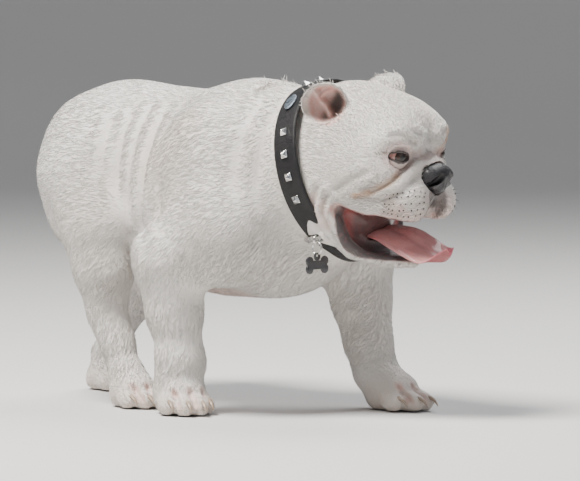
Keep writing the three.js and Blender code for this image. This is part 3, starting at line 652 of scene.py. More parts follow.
@dataclass
class Skin:
    """The one skin over all the flesh."""

    place: Placement
    masses: Masses = MASSES
    voxel_m: float = 0.002
    overlap: float = 0.35
    coat: float = 1.2
    ear_fold: float = 9
    triangles: int = 192000
    solids: tuple = ("torso", "neck", "head", "muzzle", "lower_jaw", "tail", "ear_right", "ear_left",
                     *(f"{part}_{leg}" for part in ("leg", "paw") for leg in LEGS))
    object: bpy.types.Object = None
    verts: Array = None
    tris: Array = None

    def joined(self) -> bpy.types.Object:
        """Copies of the flesh solids, a little swollen so that they overlap, remeshed as one surface."""
        verts, tris, count = [], [], 0
        for name in self.solids:
            merged = bmesh.new()
            merged.from_mesh(bpy.data.objects[name].data)
            bmesh.ops.remove_doubles(merged, verts=merged.verts, dist=1e-6)
            merged.normal_update()
            for vert in merged.verts:
                vert.co += vert.normal * self.overlap * MM
            mesh = bpy.data.meshes.new("flesh")
            merged.to_mesh(mesh)
            merged.free()
            co, tri = mesh_arrays(mesh)
            bpy.data.meshes.remove(mesh)
            verts.append(co)
            tris.append(tri + count)
            count += len(co)
        flesh = new_piece("skin", np.concatenate(verts), np.concatenate(tris))
        remesh = flesh.modifiers.new("remesh", "REMESH")
        remesh.mode = "VOXEL"
        remesh.voxel_size = self.voxel_m
        self.applied(flesh)
        return flesh

    @staticmethod
    def applied(obj: bpy.types.Object) -> None:
        """Makes an object's modifiers part of its mesh."""
        graph = bpy.context.evaluated_depsgraph_get()
        done = bpy.data.meshes.new_from_object(obj.evaluated_get(graph))
        obj.modifiers.clear()
        old, obj.data = obj.data, done
        bpy.data.meshes.remove(old)

    def near_node(self, names: tuple, p: Array) -> Array:
        """Distance in millimetres from each point, in metres, to the nearest of the nodes."""
        far_mm, margin_m = 1e3, 0.012
        best = np.full(len(p), far_mm)
        for name in names:
            low, high = (np.array(c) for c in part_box(name))
            close = np.flatnonzero(np.all((p > low - margin_m) & (p < high + margin_m), axis=1))
            tree = BVHTree.FromPolygons(*[a.tolist() for a in mesh_arrays(bpy.data.objects[name].data)])
            for i in close:
                best[i] = min(best[i], tree.find_nearest(Vector(p[i]))[3] / MM)
        return best

    def settle(self, verts: Array, tris: Array) -> Array:
        """Moves the skin onto the named masses, then creases it and draws it in by the coat's depth.

        Args:
            verts: remeshed vertices in metres.
            tris: their triangles.

        Returns:
            The moved vertices in metres.
        """
        own = self.near_node(("ear_right", "ear_left"), verts)
        free = smoothstep(own, 0.9, 3.5)
        p = self.onto_masses(self.place.design(verts), free)
        p = smoothed(p, tris, 3, 0.5 * np.ones(len(p)))
        p = smoothed(p, tris, 8, 0.5 * (1 - smoothstep(own, 0.5, 4)))
        n = normals_of(p, tris)
        p = self.fold_ears(p, n)
        sink = self.sinks(p) * smoothstep(own, 1.0, 5.0) * smoothstep(p[:, 2], 0.5, 6)
        p = p - n * (sink + self.coat + self.overlap * (1 - free))[:, None]
        p[:, 2] = np.maximum(p[:, 2], 0)
        return self.place.metres(smoothed(p, tris, 1, 0.4 * np.ones(len(p))))

    def onto_masses(self, p: Array, free: Array) -> Array:
        """Points stepped down the slope of the field to the surface of the masses, where they are free."""
        probe, reach, longest, flattest = 0.6, 6, 3, 0.3
        for _ in range(3):
            d = self.masses.whole(p)
            g = np.column_stack([self.masses.whole(p + probe * axis) - d for axis in np.eye(3)]) / probe
            slope = np.maximum((g ** 2).sum(1), flattest)
            step = np.where(np.abs(d) < reach, d, 0) / slope * free
            p = p - np.clip(step, -longest, longest)[:, None] * g
        p[:, 2] = np.maximum(p[:, 2], 0)
        return p

    def sinks(self, p: Array) -> Array:
        """How far the creases take each point in; those of the body are shallower on the head."""
        q = self.masses.head.local(p)
        head_part = HEAD.share(q)
        sink = np.zeros(len(p))
        for crease in CREASES:
            part = head_part if crease.space is Space.HEAD else 0.9 - 0.4 * head_part
            sink += crease.sink(p, q) * part
        low = p[:, 2] < PAW_TOP
        for crease in paw_creases():
            sink[low] += crease.sink(p[low], q[low])
        return sink

    def fold_ears(self, p: Array, n: Array) -> Array:
        """Raises the folds inside the ear cups."""
        q = self.masses.head.local(p)
        facing = n @ self.masses.head.axes().T
        for side, ear in EARS.items():
            e = ear.local(mirrored(q))
            flat = e * np.array([1, 1, 0])
            out = ear.outward(side)
            inside = (np.linalg.norm(flat, axis=1) < ear.reach) & (np.abs(e[:, 2]) < ear.reach)
            inside &= q[:, 1] * side.value > 0
            lift = self.ear_fold * ear.relief(flat[inside]) * smoothstep(facing[inside] @ out, 0.1, 0.5)
            p[inside] += lift[:, None] * (out / np.linalg.norm(out) @ self.masses.head.axes())
        return p

    def build(self) -> "Skin":
        """Makes the skin and thins it where it is plain."""
        self.object = self.joined()
        verts, tris = mesh_arrays(self.object.data)
        LOG.info("skin: %d vertices remeshed", len(verts))
        verts = self.settle(verts, tris)
        self.object.data.vertices.foreach_set("co", verts.astype(np.float32).ravel())
        self.thin(verts, len(tris))
        self.object.data.shade_smooth()
        self.verts, self.tris = mesh_arrays(self.object.data)
        LOG.info("skin: %d triangles", len(self.tris))
        for name in self.solids:
            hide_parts(name)
        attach(self.object, "root")
        return self

    def thin(self, verts: Array, count: int) -> None:
        """Drops triangles down to the budget, the head's and the paws' last."""
        p = self.place.design(verts)
        q = self.masses.head.local(p)
        plain = 1 - np.maximum(smoothstep(q[:, 0], -50, -20), 1 - smoothstep(p[:, 2], 45, PAW_TOP))
        group = self.object.vertex_groups.new(name="plain")
        levels = 4
        for level in range(1, levels + 1):
            chosen = np.flatnonzero(np.round(plain * levels) == level)
            group.add(chosen.tolist(), level / levels, "REPLACE")
        decimate = self.object.modifiers.new("thin", "DECIMATE")
        decimate.ratio = min(1.0, self.triangles / count)
        decimate.vertex_group = "plain"
        decimate.vertex_group_factor = 1.2
        self.applied(self.object)
        self.object.vertex_groups.clear()


@dataclass(frozen=True)
class Patch:
    """A coloured place on the coat: a line or a spot with a soft edge."""

    name: str
    space: Space
    points: tuple
    width: float
    strength: float = 1.0
    both: bool = True

    def cover(self, body: Array, head: Array) -> Array:
        """How much of the patch each point has, 0 to 1, with a ragged edge."""
        p = head if self.space is Space.HEAD else body
        q = mirrored(p) if self.both else p
        points = self.points if len(self.points) > 1 else (self.points[0], np.add(self.points[0], 0.01))
        d = polyline(q, points) / self.width + 0.35 * (noise(p, self.width * 0.5, 3) - 0.5)
        return self.strength * (1 - smoothstep(d, 0.55, 1.15))


PATCHES = (
    # pink skin that shows: flews, lips, below the eye, roll, chin, jowl, belly, thigh
    Patch("pink", H, ((92, 28, -92), (86, 36, -98)), 26, 0.45),
    Patch("pink", H, ((104, 14, -104), (84, 40, -110), (60, 46, -104)), 7, 0.8),
    Patch("pink", H, ((80, 40, -50), (66, 54, -62)), 12, 0.4),
    Patch("pink", H, ((88, 18, -40), (94, 8, -42)), 13, 0.35),
    Patch("pink", H, ((60, 10, -160), (44, 26, -156), (24, 40, -138)), 16, 0.45),
    Patch("pink", H, ((-2, 78, -100), (10, 74, -120)), 14, 0.3),
    Patch("pink", B, ((20, 30, 132), (-60, 20, 170), (-120, 10, 196)), 40, 0.4),
    Patch("pink", B, ((-160, 40, 210), (-170, 30, 170)), 26, 0.35),
    # tear crease darkened as painted shade, and its stain, brow crease tinted tan as painted shade, corners
    # of the eye, lips under the nose, and the far eye's patch
    Patch("dark", H, ((88, 31, -38), (86, 41, -46), (84, 52, -57), (81, 59, -64)), 2.6, 0.9),
    Patch("tan", H, ((84, 52, -57), (81, 59, -64), (74, 64, -70), (63, 70, -79), (46, 76, -86)), 4.6, 0.75),
    Patch("tan", H, ((93, 34, -20), (92, 47, -14), (86, 55, -10)), 4.0, 0.35),
    Patch("dark", H, ((73, 63, -33), (68, 67, -34), (63, 69, -36)), 2.0, 0.8),
    Patch("dark", H, ((88, 40, -33), (89, 33, -36)), 2.4, 0.85),
    Patch("dark", H, ((107, 10, -74), (110, 13, -92), (108, 14, -104)), 10, 0.8),
    Patch("dark", H, ((108, 4, -84), (106, 8, -106)), 9, 0.9),
    Patch("tan", H, ((86, 44, -18),), 15, 0.75, False),
    Patch("tan", H, ((90, 30, -26), (84, 46, -24)), 6, 0.4, False),
    # faint tan freckles on the near shoulder and ribs
    Patch("tan", B, ((-10, -112, 300), (20, -104, 320)), 34, 0.16, False),
    Patch("tan", B, ((-30, -110, 280), (10, -118, 250)), 34, 0.12, False),
)


@dataclass
class Markings:
    """Colour masks, read by the skin and copied to the coat."""

    place: Placement
    head: HeadFrame = HEAD
    eye: Eye = EYE
    names: tuple = ("pink", "dark", "tan", "wet", "bare", "fold")

    def of(self, verts: Array, normals: Array) -> dict:
        """The masks at some points.

        Args:
            verts: points in metres.
            normals: their outward directions.

        Returns:
            A value from 0 to 1 for each point, by mask name.
        """
        p = self.place.design(verts)
        q = self.head.local(p)
        out = {name: np.zeros(len(p)) for name in self.names}
        front = np.flatnonzero((q[:, 0] > -70) & (p[:, 0] > 100))
        for patch in PATCHES:
            i = front if patch.space is Space.HEAD else slice(None)
            out[patch.name][i] = np.maximum(out[patch.name][i], patch.cover(p[i], q[i]))
        self.paint_mouth(q, front, out)
        self.paint_eyes(q, front, out)
        self.paint_ears(q, normals @ self.head.axes().T, front, out)
        self.paint_feet(p, out)
        # Painted shade: the fold mask darkens the colour in the creases and between the toes.
        out["fold"] = self.folds(p, q)
        out["bare"] = np.clip(np.maximum(out["bare"], out["wet"]), 0, 1)
        return out

    @staticmethod
    def folds(p: Array, q: Array) -> Array:
        """How deep in a crease each point lies: the mask for the shade painted into the creases and between
        the toes.
        """
        head = HEAD.share(q)
        total = np.zeros(len(p))
        for crease in (*CREASES, *PAINTED_SHADE_LINES):
            part = head if crease.space is Space.HEAD else 0.45 * (1 - 0.6 * head)
            total += np.maximum(crease.sink(p, q), 0) / 4 * part
        low = p[:, 2] < PAW_TOP
        for crease in paw_creases():
            total[low] += np.maximum(crease.sink(p[low], q[low]), 0) / 6
        return np.clip(total, 0, 1)

    def paint_mouth(self, q: Array, i: Array, out: dict) -> None:
        """Dark lips, pink cheeks and a red throat inside the open mouth, with shade painted dark over the
        inside of the mouth.
        """
        m = mirrored(q[i])
        cut = np.minimum(np.abs(MASSES.mouth(q[i])), np.abs(MASSES.throat(q[i])))
        within = MASSES.gape(q[i])
        lip = MASSES.lower_lip(m)
        low = q[i, 2] < -96
        rag = 1.6 * (noise(q[i], 7, 12) - 0.5)
        inside = (1 - smoothstep(within + rag, 2.0, 4.5)) * low * (m[:, 1] < 74)
        rim = (1 - smoothstep(lip, 1.5, 3.0)) * smoothstep(-within - rag, -6.5, -4.0)
        upper = (1 - smoothstep(cut + rag, 2.5, 6)) * smoothstep(q[i, 2], -118, -112) * low
        corner = 1 - smoothstep(np.linalg.norm(m - np.array([28, 71, -106]), axis=1), 6, 13)
        cheek = inside * smoothstep(m[:, 1], 40, 56) * (q[i, 0] < 66)
        out["wet"][i] = np.maximum(out["wet"][i], np.maximum(inside, 0.7 * rim))
        flecks = 0.16 * smoothstep(noise(q[i], 4, 8), 0.6, 0.85)
        # Painted shade: the inside of the mouth away from the cheeks, and a little of the gape's upper
        # edge, is darkened; the lip rims are the lips' own black.
        dark = np.maximum(inside * (0.75 - 0.65 * cheek + flecks), rim * (0.97 - flecks))
        out["dark"][i] = np.clip(np.maximum.reduce([out["dark"][i], dark, corner * 0.8, 0.3 * upper]), 0, 1)
        out["pink"][i] = np.maximum(out["pink"][i], np.maximum(inside, upper * 0.9))

    def paint_eyes(self, q: Array, i: Array, out: dict) -> None:
        """Dark rims round each eye and a pale pink ring round them."""
        m = mirrored(q[i])
        d = self.eye.away(m) - self.eye.radius
        rim = 1 - smoothstep(d, 2.2, 4.6)
        out["dark"][i] = np.maximum(out["dark"][i], rim * 0.9)
        out["bare"][i] = np.maximum(out["bare"][i], rim)
        out["pink"][i] = np.maximum(out["pink"][i], 0.45 * (1 - smoothstep(d, 5, 13)))

    def paint_ears(self, q: Array, n: Array, i: Array, out: dict) -> None:
        """Pink skin inside the ear cups, with shade painted dark deep in each cup, most in its forward half
        and least on the folds.
        """
        for side, ear in EARS.items():
            e = ear.local(mirrored(q[i]))
            flat = e * np.array([1, 1, 0])
            near = 1 - smoothstep(np.linalg.norm(flat, axis=1), ear.reach - 4, ear.reach + 1)
            near *= (q[i, 1] * side.value > 0) * (np.abs(e[:, 2]) < ear.reach + 2)
            facing = smoothstep(n[i] @ ear.outward(side), -0.1, 0.4)
            deep = 1 - smoothstep(e[:, 2] + 2 * (noise(q[i], 5, 14) - 0.5), -16, -5)
            cup = near * np.maximum(facing, deep)
            out["pink"][i] = np.maximum(out["pink"][i], cup * 0.9)
            out["bare"][i] = np.maximum(out["bare"][i], cup * 0.9)
            # Painted shade: the deep middle of each cup is darkened, most in its forward half and least on
            # the folds.
            slit_shade = 0.3 + 0.7 * smoothstep(-e[:, 0] + 0.4 * e[:, 1], -4, 6)
            dark = near * deep * slit_shade * (1 - 0.9 * ear.relief(flat))
            out["dark"][i] = np.maximum(out["dark"][i], dark * 0.93)

    def paint_feet(self, p: Array, out: dict) -> None:
        """Pink between the toes and dark pads under them."""
        toes = np.zeros(len(p))
        low = np.flatnonzero(p[:, 2] < 40)
        q = p[low]
        for crease in paw_creases():
            d = polyline(q, crease.points)
            toes[low] = np.maximum(toes[low], 1 - smoothstep(d, 2, 7))
        out["pink"] = np.maximum(out["pink"], toes * 0.55)
        for leg in LEGS.values():
            x, y, _ = leg.paw.at
            near = 1 - smoothstep(np.linalg.norm(p[:, :2] - np.array([x, y]), axis=1), 50, 70)
            out["tan"] = np.maximum(out["tan"], near * (1 - smoothstep(p[:, 2], 4, 46)) * 0.22)
            out["dark"] = np.maximum(out["dark"], near * (1 - smoothstep(p[:, 2], 1.0, 3.0)) * 0.7)

    def paint(self, obj: bpy.types.Object, verts: Array, normals: Array) -> dict:
        """Stores the masks on an object and returns them."""
        masks = self.of(verts, normals)
        for name, values in masks.items():
            set_attribute(obj.data, name, values)
        return masks


@dataclass
class Coat:
    """Short fur as solid tufts that lie along the body.

    A tuft is a three-cornered ring at its root, another half way along, and a tip. In the head's frame,
    nose is a bare place, and parting is where the hair of the face lies away from.
    """

    skin: Skin
    markings: Markings
    tufts: int = 72000
    per_piece: int = 19500
    depth: float = 1.0
    length: float = 11.5
    shortest: float = 3.2
    width: float = 1.15
    thick: float = 0.28
    points: int = 7
    patch_uv: float = 0.0015
    nose: tuple = (106, 0, -60)
    parting: tuple = (112, 0, -62)

    def keep(self, p: Array, q: Array, masks: dict) -> Array:
        """How thickly each place is covered: less on the face and feet, none in the mouth, eyes or nose.

        Args:
            p: points in the body's frame.
            q: the same points in the head's frame.
            masks: the markings at the points.

        Returns:
            A weight for each point.
        """
        m = mirrored(q)
        face = smoothstep(q[:, 0], -30, 40) * (p[:, 0] > 100)
        foot = 1 - smoothstep(p[:, 2], 20, 90)
        weight = 1.0 + 1.3 * face + 0.5 * foot
        weight *= 1 - smoothstep(masks["bare"], 0.25, 0.6)
        weight *= smoothstep(EYE.away(m), EYE.radius + 4, EYE.radius + 6.5)
        weight *= smoothstep(np.linalg.norm(q - np.array(self.nose), axis=1), 21, 26)
        weight *= smoothstep(np.abs(COLLAR.away(p)), 15, 19)
        by_mouth = (p[:, 0] > 150) & (q[:, 2] < -92) & (m[:, 1] < 80)
        weight *= np.where(by_mouth, smoothstep(MASSES.gape(q), 3, 7), 1)
        weight *= smoothstep(p[:, 2], 3, 7)
        return weight

    def roots(self) -> tuple:
        """Points spread over the skin, with their normals and masks, in design millimetres."""
        place = self.skin.place
        verts, tris = place.design(self.skin.verts), self.skin.tris
        masks = self.markings.of(self.skin.verts, normals_of(verts, tris))
        weight = self.keep(verts, place.head.local(verts), masks)
        a, b, c = (verts[tris[:, k]] for k in range(3))
        area = np.linalg.norm(np.cross(b - a, c - a), axis=1) / 2
        share = area * weight[tris].mean(1)
        rng = np.random.default_rng(7)
        total = self.tufts
        edges = np.cumsum(share) / share.sum()
        picks = np.searchsorted(edges, (np.arange(total) + rng.random(total)) / total)
        u, v = rng.random(total), rng.random(total)
        u, v = np.where(u + v > 1, 1 - u, u), np.where(u + v > 1, 1 - v, v)
        bary = np.column_stack([1 - u - v, u, v])
        corners = tris[picks]
        at = (verts[corners] * bary[:, :, None]).sum(1)
        normal = (normals_of(verts, tris)[corners] * bary[:, :, None]).sum(1)
        normal /= np.linalg.norm(normal, axis=1, keepdims=True) + 1e-9
        picked = {name: (values[corners] * bary).sum(1) for name, values in masks.items()}
        return at, normal, picked

    def flow(self, p: Array, q: Array) -> Array:
        """The way the hair lies: away from the nose, back along the body and down the legs."""
        head = smoothstep(q[:, 0], -70, -20) * smoothstep(p[:, 0], 100, 130)
        away = q - np.array(self.parting)
        away[:, 0] *= 1.3
        away[:, 2] += 10
        away /= np.linalg.norm(away, axis=1, keepdims=True) + 1e-9
        body = np.column_stack([-np.ones(len(p)), 0.18 * np.sign(p[:, 1]) * (np.abs(p[:, 1]) > 20),
                                -0.30 - 0.6 * smoothstep(p[:, 2], 250, 170)])
        leg = np.array([-0.25, 0.0, -1.0])
        low = (1 - smoothstep(p[:, 2], 90, 215))[:, None]
        body = body * (1 - low) + leg * low
        toe = (1 - smoothstep(p[:, 2], 22, 44))[:, None]
        body = body * (1 - toe) + np.array([0.8, 0, -0.4]) * toe
        body /= np.linalg.norm(body, axis=1, keepdims=True)
        return body * (1 - head)[:, None] + (away @ HEAD.axes()) * head[:, None]

    def blades(self, at: Array, normal: Array) -> Array:
        """Vertices of every tuft.

        Args:
            at: the roots in design millimetres.
            normal: the skin's directions there.

        Returns:
            The points of each tuft, from its root to its tip.
        """
        rng = np.random.default_rng(11)
        count = len(at)
        q = HEAD.local(at)
        way = self.flow(at, q)
        swirl = np.column_stack([noise(at, 46, s) for s in (21, 22, 23)]) - 0.5
        way = way + 0.7 * swirl + 0.22 * rng.standard_normal((count, 3))
        way -= (way * normal).sum(1)[:, None] * normal
        way /= np.linalg.norm(way, axis=1, keepdims=True) + 1e-9
        side = np.cross(normal, way)
        face = smoothstep(q[:, 0], -50, 50) * (at[:, 0] > 110)
        foot = 1 - smoothstep(at[:, 2], 20, 70)
        length = self.length - 6.0 * face - 6.5 * foot
        length = np.maximum(length, self.shortest) * rng.uniform(0.75, 1.2, count)
        length *= 0.4 + 0.6 * smoothstep(np.abs(COLLAR.away(at)), 17, 38)
        width = (self.width - 0.45 * face - 0.35 * foot) * rng.uniform(0.8, 1.2, count)
        lift = np.tan(np.radians(rng.uniform(4, 10, count)))
        up = np.minimum(length * lift, self.depth * 1.15)
        w, h = width[:, None], self.thick
        start = at - normal * 0.35
        mid = at + way * (length * 0.5)[:, None] + normal * (up * 0.75 - 0.004 * length ** 2)[:, None]
        tip = at + way * length[:, None] + normal * (up * 0.8 - 0.25)[:, None]
        rows = [start - side * w * 0.5, start + side * w * 0.5, start + normal * h,
                mid - side * w * 0.36, mid + side * w * 0.36, mid + normal * h * 0.9, tip]
        return np.stack(rows, axis=1)

    def chart(self, at: Array, normal: Array) -> Array:
        """Each root's place on a six-chart box unwrap of the skin."""
        axis = np.abs(normal).argmax(1)
        sign = normal[np.arange(len(at)), axis] > 0
        low, high = at.min(0), at.max(0)
        unit = (at - low) / (high - low).max()
        others = np.array([[1, 2], [0, 2], [0, 1]])[axis]
        flat = np.take_along_axis(unit, others, axis=1)
        tile = axis * 2 + sign
        edge, columns, rows = 0.02, 3, 2
        flat = edge + (1 - 2 * edge) * flat
        return np.column_stack([(tile % columns + flat[:, 0]) / columns,
                                (tile // columns + flat[:, 1]) / rows])

    def build(self) -> list:
        """Makes the coat's pieces."""
        at, normal, masks = self.roots()
        rings = self.blades(at, normal)
        spot = self.chart(at, normal)
        order = np.argsort(-HEAD.local(at)[:, 0], kind="stable")
        face_list = np.array([[0, 1, 4], [0, 4, 3], [1, 2, 5], [1, 5, 4], [2, 0, 3], [2, 3, 5],
                              [3, 4, 6], [4, 5, 6], [5, 3, 6], [0, 2, 1]])
        offsets = self.patch_uv * np.array([[-1, -1], [1, -1], [0, -0.6], [-0.7, 0.2], [0.7, 0.2],
                                            [0, 0.4], [0, 1]])
        along = np.array([0, 0, 0, 0.5, 0.5, 0.5, 1.0])
        shade = np.random.default_rng(5).random(len(at))
        pieces = []
        for part, start in enumerate(range(0, len(at), self.per_piece)):
            rows = order[start:start + self.per_piece]
            n = len(rows)
            verts = self.skin.place.metres(rings[rows].reshape(-1, 3))
            faces = (face_list[None] + self.points * np.arange(n)[:, None, None]).reshape(-1, 3)
            obj = new_piece(f"coat_{part + 1}", verts, faces)
            for name, values in masks.items():
                set_attribute(obj.data, name, np.repeat(values[rows], self.points))
            set_attribute(obj.data, "along", np.tile(along, n))
            set_attribute(obj.data, "shade", np.repeat(shade[rows], self.points))
            layer = obj.data.uv_layers.new(name="OFBake")
            uv = (spot[rows][:, None] + offsets[None]).reshape(-1, 2)
            layer.data.foreach_set("uv", uv[faces.ravel()].astype(np.float32).ravel())
            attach(obj, "root")
            pieces.append(obj)
        LOG.info("coat: %d tufts in %d pieces", len(at), len(pieces))
        return pieces


@dataclass(frozen=True)
class Collar:
    """The collar's middle plane."""

    at: tuple = (155, 6, 279)
    axis: tuple = (0.955, 0.07, 0.27)

    def away(self, p: Array) -> Array:
        """Signed distance from the collar's middle plane."""
        axis = np.asarray(self.axis) / np.linalg.norm(self.axis)
        return (p - np.asarray(self.at, float)) @ axis


COLLAR = Collar()


@dataclass
class Eyes:
    """Both eyeballs, with a clear bulge over the iris."""

    place: Placement
    eye: Eye = EYE
    cornea: float = 0.9
    room: float = 0.15

    def build(self, side: Side) -> bpy.types.Object:
        """One eyeball, its vertices marked with their angle from the gaze."""
        co, tri = unit_ball(bmesh.ops.create_uvsphere, u_segments=64, v_segments=48)
        flip = np.array([1, side.value, 1])
        gaze = np.array(self.eye.looks) * flip
        gaze = gaze / np.linalg.norm(gaze) @ HEAD.axes()
        angle = np.degrees(np.arccos(np.clip(co @ gaze, -1, 1)))
        bulge = self.cornea * (1 - smoothstep(angle, 8, 46))
        radius = self.eye.radius - self.room + bulge
        verts = HEAD.body(np.array(self.eye.at) * flip) + co * radius[:, None]
        obj = new_piece(f"eyeball_{side.name.lower()}", self.place.metres(verts), tri)
        set_attribute(obj.data, "ring", angle / 90)
        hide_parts(f"eye_{side.name.lower()}")
        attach(obj, "root")
        return obj


@dataclass
class Lids:
    """The lids of one eye: a shell over the ball with an almond opening and a fold above it.

    The opening's half width and half height and the outer edge are angles from the gaze, in radians.
    """

    place: Placement
    markings: Markings
    eye: Eye = EYE
    wide: float = 1.12
    high: float = 0.36
    edge: float = 1.45
    room: float = 0.35
    thick: float = 2.1
    lip: float = 0.06
    around: int = 128
    rows: int = 30
    rim_rows: int = 6

    def rings(self) -> Array:
        """The left lids' vertices in the head's frame, ring by ring from inside the opening outwards."""
        t = np.linspace(0, 2 * math.pi, self.around, endpoint=False)
        high = self.high * np.where(np.sin(t) > 0, 1.1, 0.9)
        rim = 1 / np.hypot(np.cos(t) / self.wide, np.sin(t) / high)
        gaze = np.array(self.eye.gaze)
        gaze /= np.linalg.norm(gaze)
        across = np.cross(UP, gaze)
        across /= np.linalg.norm(across)
        lift = np.cross(gaze, across)
        rings = []
        for row in range(self.rows):
            radius = self.eye.radius + self.room
            if row < self.rim_rows:
                turn = row / (self.rim_rows - 1) * math.pi / 2
                radius += self.thick * math.sin(turn)
                angle = rim + self.lip * (1 - math.cos(turn))
            else:
                k = (row + 1 - self.rim_rows) / (self.rows - self.rim_rows)
                fold_up = np.maximum(np.sin(t), 0) ** 0.7
                crease = math.exp(-((k - 0.30) / 0.10) ** 2) - 0.9 * math.exp(-((k - 0.58) / 0.20) ** 2)
                radius = radius + self.thick + 0.5 * k - 0.9 * crease * (0.35 + fold_up)
                angle = rim + self.lip + (self.edge - rim) * k
            out, aside = radius * np.cos(angle), radius * np.sin(angle)
            rings.append(np.asarray(self.eye.at) + out[:, None] * gaze
                         + (aside * np.cos(t))[:, None] * across + (aside * np.sin(t))[:, None] * lift)
        return np.concatenate(rings)

    def build(self, side: Side) -> bpy.types.Object:
        """The lid piece of one side."""
        q = self.rings()
        q[:, 1] *= side.value
        faces = ring_faces(self.rows, self.around)
        if side is Side.LEFT:
            faces = faces[:, ::-1]
        p = HEAD.body(q)
        obj = new_piece(f"lids_{side.name.lower()}", self.place.metres(p), faces)
        masks = self.markings.of(self.place.metres(p), normals_of(p, faces))
        row = np.repeat(np.arange(self.rows), self.around)
        ragged = 2.2 * (noise(q, 3, 9) - 0.5)
        masks["dark"] = np.maximum(0.95 * (1 - smoothstep(row + ragged, 6.5, 10)), 0.3 * masks["dark"])
        masks["wet"] = np.zeros(len(q))
        masks["pink"] = np.maximum(masks["pink"], 0.5 * (1 - smoothstep(row + ragged, 8, 17)))
        for key, values in masks.items():
            set_attribute(obj.data, key, values)
        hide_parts(f"eyelids_{side.name.lower()}")
        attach(obj, "root")
        return obj


@dataclass
class Nose:
    """The moist nose leather: a ball whose points are moved out to the nose's surface."""

    place: Placement
    centre: tuple = (104, 0, -61)
    farthest: float = 34
    halvings: int = 14

    def shape(self, q: Array) -> Array:
        """Distance to the nose with its nostrils, in the head's frame."""
        m = mirrored(q)
        pad = ellipsoid(m, (104, 0, -56), (15, 20, 15))
        wing = ellipsoid(m, (103, 15, -58), (15, 12, 13))
        d = blend(6, pad, wing, ellipsoid(m, (104, 0, -68), (13, 12, 9)))
        hole = chain(m, ((119, 11, -55), 4.5), ((113, 16, -61), 3.2), ((106, 24, -66), 2.0))
        groove = polyline(m, ((120, 0, -58), (118, 0, -72), (110, 0, -80))) / 1.7
        return soft_cut(d, hole, 2.4) + 1.3 * np.exp(-groove ** 2)

    def build(self) -> bpy.types.Object:
        """The nose piece."""
        way, tri = unit_ball(bmesh.ops.create_icosphere, subdivisions=7)
        near, far = np.zeros(len(way)), np.full(len(way), float(self.farthest))
        centre = np.asarray(self.centre, float)
        for _ in range(self.halvings):
            middle = (near + far) / 2
            inside = self.shape(centre + way * middle[:, None]) < 0
            near, far = np.where(inside, middle, near), np.where(inside, far, middle)
        q = smoothed(centre + way * near[:, None], tri, 2, 0.4 * np.ones(len(way)))
        obj = new_piece("nose_leather", self.place.metres(HEAD.body(q)), tri)
        # The hole mask marks the nostrils, which are painted darker as shade.
        hole = limb(mirrored(q), (119, 11, -55), (110, 20, -63), 4, 3)
        set_attribute(obj.data, "hole", 1 - smoothstep(hole, 0.5, 3))
        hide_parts("nose")
        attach(obj, "root")
        return obj


@dataclass
class Tongue:
    """The tongue: a strap that lolls over the lower lip to the right, its tip curled up.

    Each row is forward, left, up, half width, droop, half thickness and roll in degrees.
    """

    place: Placement
    rows: tuple = ((6, 0, -148, 13, 0, 5, 0), (26, -1, -136, 18, 0, 5, 4), (48, -3, -129, 23, 2, 5, 14),
                   (70, -5, -130, 25, 3, 4.5, 26), (86, -6, -133, 26, 4, 4, 30),
                   (101, -7, -138, 26, 3, 3.6, 29), (114, -7, -143, 25, 0, 3.4, 24),
                   (124, -7, -147, 22, -6, 3.2, 16), (132, -6, -147, 17, -10, 3, 8),
                   (137, -5, -142, 9, -9, 2.2, 4))
    steps: int = 96
    around: int = 64

    def curve(self, t: Array) -> Array:
        """The rows' values at each t, counted in rows, on a smooth curve through them."""
        rows = np.array(self.rows, float)
        knots = np.clip(t.astype(int), 0, len(rows) - 2)
        f = (t - knots)[:, None]
        before, here = rows[np.maximum(knots - 1, 0)], rows[knots]
        after, last = rows[knots + 1], rows[np.minimum(knots + 2, len(rows) - 1)]
        return 0.5 * (2 * here + (after - before) * f + (2 * before - 5 * here + 4 * after - last) * f ** 2
                      + (3 * here - before - 3 * after + last) * f ** 3)

    def build(self) -> bpy.types.Object:
        """The tongue piece, its vertices marked with their place along it and whether they are below."""
        steps, around = self.steps, self.around
        t = np.linspace(0, len(self.rows) - 1, steps)
        curve = self.curve(t)
        ring = np.linspace(0, 2 * math.pi, around, endpoint=False)
        across, above = np.cos(ring), np.sin(ring)
        forward, left, up, wide, droop, thick, roll = (column[:, None] for column in curve.T)
        edge = np.sign(above) * np.abs(above) ** 0.85
        groove = 1.5 * np.exp(-(across / 0.16) ** 2) * (above > 0) * smoothstep(t, 0.5, 2)[:, None]
        level, rise = wide * across, thick * edge - droop * across ** 2 - groove
        cosine, sine = np.cos(np.radians(roll)), np.sin(np.radians(roll))
        q = np.stack([forward + 0 * across, left + cosine * level - sine * rise,
                      up + sine * level + cosine * rise], axis=2).reshape(-1, 3)
        q[:, 2] += 0.7 * (noise(q, 9, 4) - 0.5)
        ends = np.array([curve[0, :3], curve[-1, :3] + np.array([1.2, 0, 1.5])])
        count = len(q)
        faces = np.concatenate([ring_faces(steps, around), fan_faces(0, around, count)[:, ::-1],
                                fan_faces(count - around, around, count + 1)])[:, ::-1]
        obj = new_piece("tongue_flesh", self.place.metres(HEAD.body(np.concatenate([q, ends]))), faces)
        set_attribute(obj.data, "along", np.append(np.repeat(t / t[-1], around), [0, 1]))
        # The under mask marks the underside for its painted shade.
        set_attribute(obj.data, "under", np.append(np.tile(above < -0.2, steps), [0, 0]))
        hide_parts("tongue")
        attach(obj, "root")
        return obj


